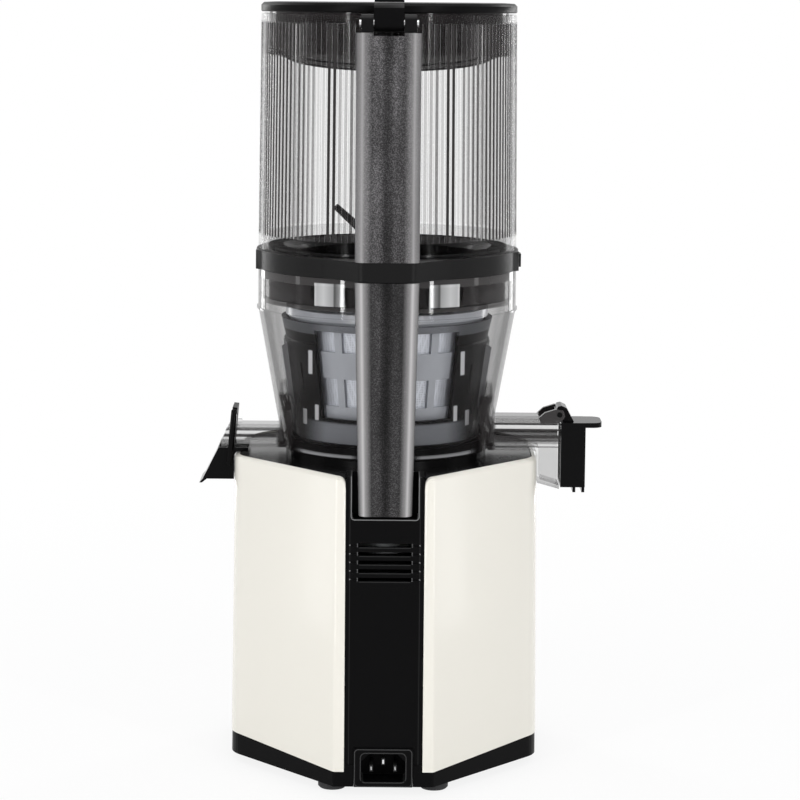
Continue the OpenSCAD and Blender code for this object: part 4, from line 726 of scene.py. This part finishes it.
def fluted_wall(sizes):
    """Closed shell of the hopper: ribs outside, smooth bands at foot and rim, plain inside."""
    low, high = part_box("hopper_wall")
    foot, rim = low.z, high.z
    foot_r, rim_r = high.x, HOPPER_RIM_R
    steps = 8               # edges to a flute
    bm = bmesh.new()
    bmesh.ops.create_circle(bm, segments=sizes.flute_count * steps, radius=1)
    first = list(bm.edges)
    round_off = 0.0006
    # Rings from the foot up and down again inside: height, share of the flutes' depth, inset
    rings = [(foot, 0, 0), (foot + 0.0080, 0, 0), (foot + 0.0088, 0.6, 0), (foot + 0.0100, 1, 0),
             (rim - 0.0062, 1, 0), (rim - 0.0050, 0.6, 0), (rim - 0.0042, 0, 0),
             (rim - round_off, 0, 0), (rim, 0, round_off), (rim, 0, HOPPER_WALL - round_off),
             (rim - round_off, 0, HOPPER_WALL), (foot, 0, HOPPER_WALL)]
    loop = first
    for i, (z, flutes, inset) in enumerate(rings):
        if i:
            made = bmesh.ops.extrude_edge_only(bm, edges=loop)["geom"]
            loop = [e for e in made if isinstance(e, bmesh.types.BMEdge)]
        radius = foot_r + (rim_r - foot_r) * (z - foot) / (rim - foot) - inset
        for v in {v for e in loop for v in e.verts}:
            turn = math.atan2(v.co.y, v.co.x)
            rib = abs(math.sin((turn - math.pi / 2) * sizes.flute_count / 2))
            r = radius - sizes.flute_depth * flutes * (1 - rib)
            v.co = (r * math.cos(turn), r * math.sin(turn), z)
    bmesh.ops.bridge_loops(bm, edges=loop + first)
    bmesh.ops.recalc_face_normals(bm, faces=bm.faces)
    return bm


def ring_sink(place, drop):
    """How far the lid ring's lower edge sinks at a place round it, most at the hinge."""
    spread = math.radians(58)       # it has risen to its full height this far from the hinge
    turn = abs(math.atan2(place.x, place.y)) / spread * math.pi / 2
    return drop * math.sqrt(max(0.0, math.cos(min(turn, math.pi))))


def lid_ring_copy(drop):
    """The lid's rings, the lower edge of the outer one sinking towards the hinge."""
    low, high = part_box("lid_ring")
    wall, edge = 0.004, 0.001       # the outer ring lies within these of its outside and its foot
    bm = merged_copy("lid_ring")
    for v in bm.verts:
        if v.co.xy.length > high.x - wall and v.co.z < low.z + edge:
            v.co.z -= ring_sink(v.co, drop)
    return bm


def cutting_wing():
    """Sickle that rises from the auger's head and leans out over the hopper's floor."""
    low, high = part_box("auger_wing")
    hub, foot = low.x, low.z
    # Its outline from the rear: across, and up from the auger's head
    upper = [(hub, 0.0), (hub + 0.002, 0.0150), (0.0, 0.0260), (0.010, 0.0345), (0.0205, 0.0430),
             (0.0305, 0.0515)]
    lower = [(0.0335, 0.0490), (0.0210, 0.0370), (0.0140, 0.0285), (0.0108, 0.0180), (0.0105, 0.0)]
    bm = bmesh.new()
    face = bm.faces.new([bm.verts.new((x, low.y, foot + z)) for x, z in upper + lower])
    made = bmesh.ops.extrude_face_region(bm, geom=[face])["geom"]
    made = [g for g in made if isinstance(g, bmesh.types.BMVert)]
    bmesh.ops.translate(bm, vec=(0, high.y - low.y, 0), verts=made)
    bmesh.ops.recalc_face_normals(bm, faces=bm.faces)
    bmesh.ops.bevel(bm, geom=list(bm.edges), offset=0.0007, affect="EDGES", segments=2, profile=0.5,
                    material=-1)
    return bm


def gate_pull():
    """Slim finger bar outside the pulp duct, bridged to the gate above the spout."""
    low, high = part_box("pulp_gate")
    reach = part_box("pulp_chute")[1].y + 0.0015      # just clear of the duct's side
    lean = math.atan2(0.0031, high.z - low.z)       # as the gate leans
    # Size, middle and edge rounding of each
    bar = (0.0034, 0.0024, 0.0345), (0.0938, reach, (low.z + high.z) / 2 - 0.0005), 0.0011
    bridge = ((0.0030, reach - high.y + 0.001, 0.0070),
              (0.0925, (reach + high.y) / 2, high.z - 0.0075), 0.0006)
    bm = bmesh.new()
    for size, place, edge in (bar, bridge):
        made = bmesh.ops.create_cube(bm, size=1)["verts"]
        bmesh.ops.scale(bm, vec=size, verts=made)
        bmesh.ops.rotate(bm, matrix=Matrix.Rotation(-lean, 3, "Y"), verts=made)
        bmesh.ops.translate(bm, vec=place, verts=made)
        edges = {e for v in made for e in v.link_edges}
        bmesh.ops.bevel(bm, geom=list(edges), offset=edge, affect="EDGES", segments=3, profile=0.5,
                        material=-1)
    return bm


def lid_ring_lip(drop):
    """Two beads round the lower edge of the lid's outer ring."""
    low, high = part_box("lid_ring")
    bm = bmesh.new()
    for height, out in ((0.0, 0.0007), (0.0030, 0.0005)):
        made = bmesh.ops.create_circle(bm, segments=144, radius=1)["verts"]
        loop = first = list({e for v in made for e in v.link_edges})
        # Section of a bead from below: inset from the ring's outside, height
        section = ((0.0, -0.0006), (-out, -0.0003), (-out, 0.0003), (0.0, 0.0006))
        for i, (inset, rise) in enumerate(section):
            if i:
                made = bmesh.ops.extrude_edge_only(bm, edges=loop)["geom"]
                loop = [e for e in made if isinstance(e, bmesh.types.BMEdge)]
            for v in {v for e in loop for v in e.verts}:
                place = v.co.xy.normalized() * (high.x - inset)
                v.co = (*place, 0.0)
                v.co.z = low.z - ring_sink(v.co, drop) + height + rise
        bmesh.ops.bridge_loops(bm, edges=loop + first)
    bmesh.ops.recalc_face_normals(bm, faces=bm.faces)
    return bm


class JuicerPiece:
    bl_options = {"REGISTER", "UNDO"}

    @staticmethod
    def finish(name):
        return materials()[name]


_made = {}


def materials():
    """All the materials by name, made at the first call."""
    if not _made:
        _made.update(make_materials())
    return _made


class JUICER_OT_housing(JuicerPiece, bpy.types.Operator):
    """Gloss housing with its tray, feet and screws"""
    bl_idname = "juicer.housing"
    bl_label = "Housing"

    def execute(self, context):
        sizes = context.scene.juicer_sizes
        shell = housing_copy(sizes.shell_corner, sizes.shell_drop)
        edged("body_shell", self.finish("housing"), sizes.shell_edge, 3, 50, shell)
        paint(self.finish("black"), "base_tray")
        paint(self.finish("rubber"), "feet")
        paint(self.finish("steel"), "tray_screws")
        return {"FINISHED"}


class JUICER_OT_spine(JuicerPiece, bpy.types.Operator):
    """Rear spine with its vents, and the mains inlet"""
    bl_idname = "juicer.spine"
    bl_label = "Spine and inlet"

    def execute(self, context):
        edge = context.scene.juicer_sizes.trim_edge
        edged("rear_spine", self.finish("spine"), edge)
        edged("power_inlet", self.finish("inlet"), edge)
        paint(self.finish("contacts"), "inlet_blades")
        return {"FINISHED"}


class JUICER_OT_drive(JuicerPiece, bpy.types.Operator):
    """Motor, gearbox, boards and the control knob"""
    bl_idname = "juicer.drive"
    bl_label = "Drive and controls"

    def execute(self, context):
        paint(self.finish("black"), "rotary_switch", "control_knob")
        paint(self.finish("motor_steel"), "motor_rotor", "gearbox_plate", "gearbox_cover")
        paint(self.finish("steel"), "gearbox_screws", "drive_shaft", "shaft_bearing")
        paint(self.finish("gear"), "intermediate_gear", "drive_gear", "cooling_fan")
        paint(self.finish("rubber"), "motor", "shaft_seal")
        paint(self.finish("board"), "power_board", "control_board")
        return {"FINISHED"}


class JUICER_OT_drum(JuicerPiece, bpy.types.Operator):
    """Smoke-clear drum on its gloss deck"""
    bl_idname = "juicer.drum"
    bl_label = "Drum"

    def execute(self, context):
        paint(self.finish("deck"), "top_deck")
        paint(self.finish("drum"), "drum_bowl")
        paint(self.finish("black"), "drum_floor")
        paint(self.finish("silicone"), "drum_seal")
        paint(self.finish("lower_pillar"), "drum_handle")
        return {"FINISHED"}


class JUICER_OT_spouts(JuicerPiece, bpy.types.Operator):
    """Pulp duct with its gate, and the juice spout's cap"""
    bl_idname = "juicer.spouts"
    bl_label = "Spouts"

    def execute(self, context):
        paint(self.finish("gloss"), "pulp_chute", "juice_cap", "cap_pin")
        paint(self.finish("black"), "pulp_gate")
        paint(self.finish("rubber"), "cap_plug")
        new_piece("gate_pull", gate_pull(), NODES["pulp_gate"]["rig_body"],
                  self.finish("gloss"))
        return {"FINISHED"}


class JUICER_OT_strainer(JuicerPiece, bpy.types.Operator):
    """Strainer, its mesh, the wiper cage and the idler gears"""
    bl_idname = "juicer.strainer"
    bl_label = "Strainer and cage"

    def execute(self, context):
        paint(self.finish("strainer"), "strainer_frame")
        paint(self.finish("mesh"), "strainer_mesh")
        paint(self.finish("cage"), "wiper_cage")
        paint(self.finish("silicone"), "wiper_blades")
        paint(self.finish("gear"), "cage_idler")
        return {"FINISHED"}


class JUICER_OT_auger(JuicerPiece, bpy.types.Operator):
    """Auger with its drive socket and cutting wing"""
    bl_idname = "juicer.auger"
    bl_label = "Auger"

    def execute(self, context):
        paint(self.finish("auger"), "auger")
        new_piece("auger_sickle", cutting_wing(), NODES["auger_wing"]["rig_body"],
                  self.finish("gloss"), ("auger_wing",))
        paint(self.finish("steel"), "drive_socket")
        return {"FINISHED"}


class JUICER_OT_hopper(JuicerPiece, bpy.types.Operator):
    """Fluted hopper with its collar, floor and pillar"""
    bl_idname = "juicer.hopper"
    bl_label = "Hopper"

    def execute(self, context):
        edged("hopper_collar", self.finish("collar"), COLLAR_EDGE)
        new_piece("hopper_fluted_wall", fluted_wall(context.scene.juicer_sizes), "hopper",
                  self.finish("hopper"), ("hopper_wall",), 40)
        paint(self.finish("dark"), "hopper_skirt")
        paint(self.finish("floor"), "hopper_floor")
        paint(self.finish("upper_pillar"), "hopper_handle")
        paint(self.finish("black"), "latch_catch")
        return {"FINISHED"}


class JUICER_OT_lid(JuicerPiece, bpy.types.Operator):
    """Lid with its rings, hinge pin and latch"""
    bl_idname = "juicer.lid"
    bl_label = "Lid"

    def execute(self, context):
        edged("lid_plate", self.finish("black"), context.scene.juicer_sizes.trim_edge)
        paint(self.finish("gloss"), "lid_latch")
        drop = context.scene.juicer_sizes.ring_drop
        new_piece("lid_ring_sunk", lid_ring_copy(drop), "lid",
                  self.finish("dark"), ("lid_ring",))
        new_piece("lid_ring_lip", lid_ring_lip(drop), "lid",
                  self.finish("black"))
        paint(self.finish("steel"), "lid_pin", "latch_pin")
        return {"FINISHED"}


# ---- Stage ----

def white_backdrop(tree, surface, output):
    """Puts white in a surface's place for rays that see the backdrop; returns its socket."""
    nodes, links = tree.nodes, tree.links
    path = nodes.new("ShaderNodeLightPath")
    first = nodes.new("ShaderNodeMath")
    first.operation = "MAXIMUM"
    seen = nodes.new("ShaderNodeMath")
    seen.operation = "MAXIMUM"
    links.new(path.outputs["Is Camera Ray"], first.inputs[0])
    links.new(path.outputs["Is Transmission Ray"], first.inputs[1])
    links.new(first.outputs[0], seen.inputs[0])
    links.new(path.outputs["Is Glossy Ray"], seen.inputs[1])
    mix = nodes.new("ShaderNodeMixShader")
    links.new(seen.outputs[0], mix.inputs["Fac"])
    links.new(surface, mix.inputs[1])
    links.new(mix.outputs[0], nodes[output].inputs["Surface"])
    return mix.inputs[2]


def make_surroundings(scene):
    world = bpy.data.worlds.new("surroundings")
    world.use_nodes = True
    tree = world.node_tree
    plain = tree.nodes["Background"]
    plain.inputs["Color"].default_value = (0.95, 0.97, 1.0, 1)
    plain.inputs["Strength"].default_value = 0.42
    white = tree.nodes.new("ShaderNodeBackground")
    white.inputs["Color"].default_value = (1, 1, 1, 1)
    tree.links.new(white.outputs[0], white_backdrop(tree, plain.outputs[0], "World Output"))
    scene.world = world


def make_floor(scene):
    """Pale floor that turns plain white away from the juicer, and keeps its shadow close by."""
    bm = bmesh.new()
    bmesh.ops.create_circle(bm, cap_ends=True, segments=96, radius=6)
    mesh = bpy.data.meshes.new("floor")
    bm.to_mesh(mesh)
    bm.free()
    floor = bpy.data.objects.new("floor", mesh)
    scene.collection.objects.link(floor)
    mat = principled("pale_floor", (0.9, 0.9, 0.9), 0.6)
    lit = bsdf_of(mat)
    glow = add_node(mat, "ShaderNodeEmission")
    fading = add_node(mat, "ShaderNodeMixShader")
    away = add_node(mat, "ShaderNodeVectorMath", operation="LENGTH")
    link(mat, add_node(mat, "ShaderNodeTexCoord"), "Object", away, 0)
    link(mat, *map_range(mat, (away, "Value"), 0.25, 0.9, 0.86, 1.0), fading, "Fac")
    link(mat, lit, 0, fading, 1)
    link(mat, glow, 0, fading, 2)
    tree = mat.node_tree
    tree.links.new(fading.outputs[0], white_backdrop(tree, lit.outputs[0], "Material Output"))
    mesh.materials.append(mat)


def softbox(name, place, width, height, power):
    light = bpy.data.lights.new(name, "AREA")
    light.shape = "RECTANGLE"
    light.size, light.size_y = width, height
    light.energy = power
    lamp = bpy.data.objects.new(name, light)
    bpy.context.scene.collection.objects.link(lamp)
    lamp.location = place
    lamp.rotation_euler = (LIT_POINT - Vector(place)).to_track_quat("-Z", "Y").to_euler()


def make_camera(scene, stage):
    lens = bpy.data.cameras.new("camera")
    lens.sensor_width = 36
    lens.lens = stage.lens
    lens.shift_x, lens.shift_y = stage.shift_x, stage.shift_y
    lens.clip_start, lens.clip_end = 0.05, 50
    camera = bpy.data.objects.new("camera", lens)
    scene.collection.objects.link(camera)
    camera.matrix_world = (Matrix.Translation((CAMERA_X, stage.distance, stage.height))
                           @ Matrix.Rotation(math.pi, 4, "Z")
                           @ Matrix.Rotation(math.pi / 2 - stage.pitch, 4, "X")
                           @ Matrix.Rotation(stage.roll, 4, "Z"))
    scene.camera = camera


class JUICER_OT_stage(bpy.types.Operator):
    """Pale floor, white surroundings, softboxes and the camera"""
    bl_idname = "juicer.stage"
    bl_label = "Stage"

    def execute(self, context):
        scene = context.scene
        stage = scene.juicer_stage
        scene.view_settings.view_transform = "Standard"
        make_surroundings(scene)
        make_floor(scene)
        for side, name, power in ((1, "left", 1.6), (-1, "right", 1.4)):
            softbox("strip_" + name, (side * 1.0, 1.25, 0.40), 0.10, 1.3, stage.key * power)
            softbox("rim_" + name, (side * 1.35, 0.15, 0.35), 0.12, 1.2, stage.key * 0.15)
            softbox("front_" + name, (side * 0.9, -1.2, 0.6), 0.3, 1.2, stage.key)
        softbox("softbox_top", (0, 0.1, 1.5), 1.0, 1.0, stage.key)
        make_camera(scene, stage)
        return {"FINISHED"}


OPERATORS = (
    JUICER_OT_stage, JUICER_OT_housing, JUICER_OT_spine, JUICER_OT_drive, JUICER_OT_drum,
    JUICER_OT_spouts, JUICER_OT_strainer, JUICER_OT_auger, JUICER_OT_hopper, JUICER_OT_lid,
)


class JUICER_PT_panel(bpy.types.Panel):
    bl_label = "Juicer"
    bl_idname = "JUICER_PT_panel"
    bl_space_type = "VIEW_3D"
    bl_region_type = "UI"
    bl_category = "Juicer"

    def draw(self, context):
        for operator in OPERATORS:
            self.layout.operator(operator.bl_idname)
        for group in (context.scene.juicer_finishes, context.scene.juicer_sizes,
                      context.scene.juicer_stage):
            box = self.layout.box()
            for name in group.bl_rna.properties.keys():
                if name not in {"rna_type", "name"}:
                    box.prop(group, name)


CLASSES = (JuicerFinishes, JuicerSizes, JuicerStage, *OPERATORS, JUICER_PT_panel)


def register():
    for cls in CLASSES:
        bpy.utils.register_class(cls)
    bpy.types.Scene.juicer_finishes = PointerProperty(type=JuicerFinishes)
    bpy.types.Scene.juicer_sizes = PointerProperty(type=JuicerSizes)
    bpy.types.Scene.juicer_stage = PointerProperty(type=JuicerStage)


def unregister():
    del bpy.types.Scene.juicer_stage
    del bpy.types.Scene.juicer_sizes
    del bpy.types.Scene.juicer_finishes
    for cls in reversed(CLASSES):
        bpy.utils.unregister_class(cls)


def main():
    register()
    for operator in OPERATORS:
        group, name = operator.bl_idname.split(".")
        getattr(getattr(bpy.ops, group), name)()


if __name__ == "__main__":
    main()
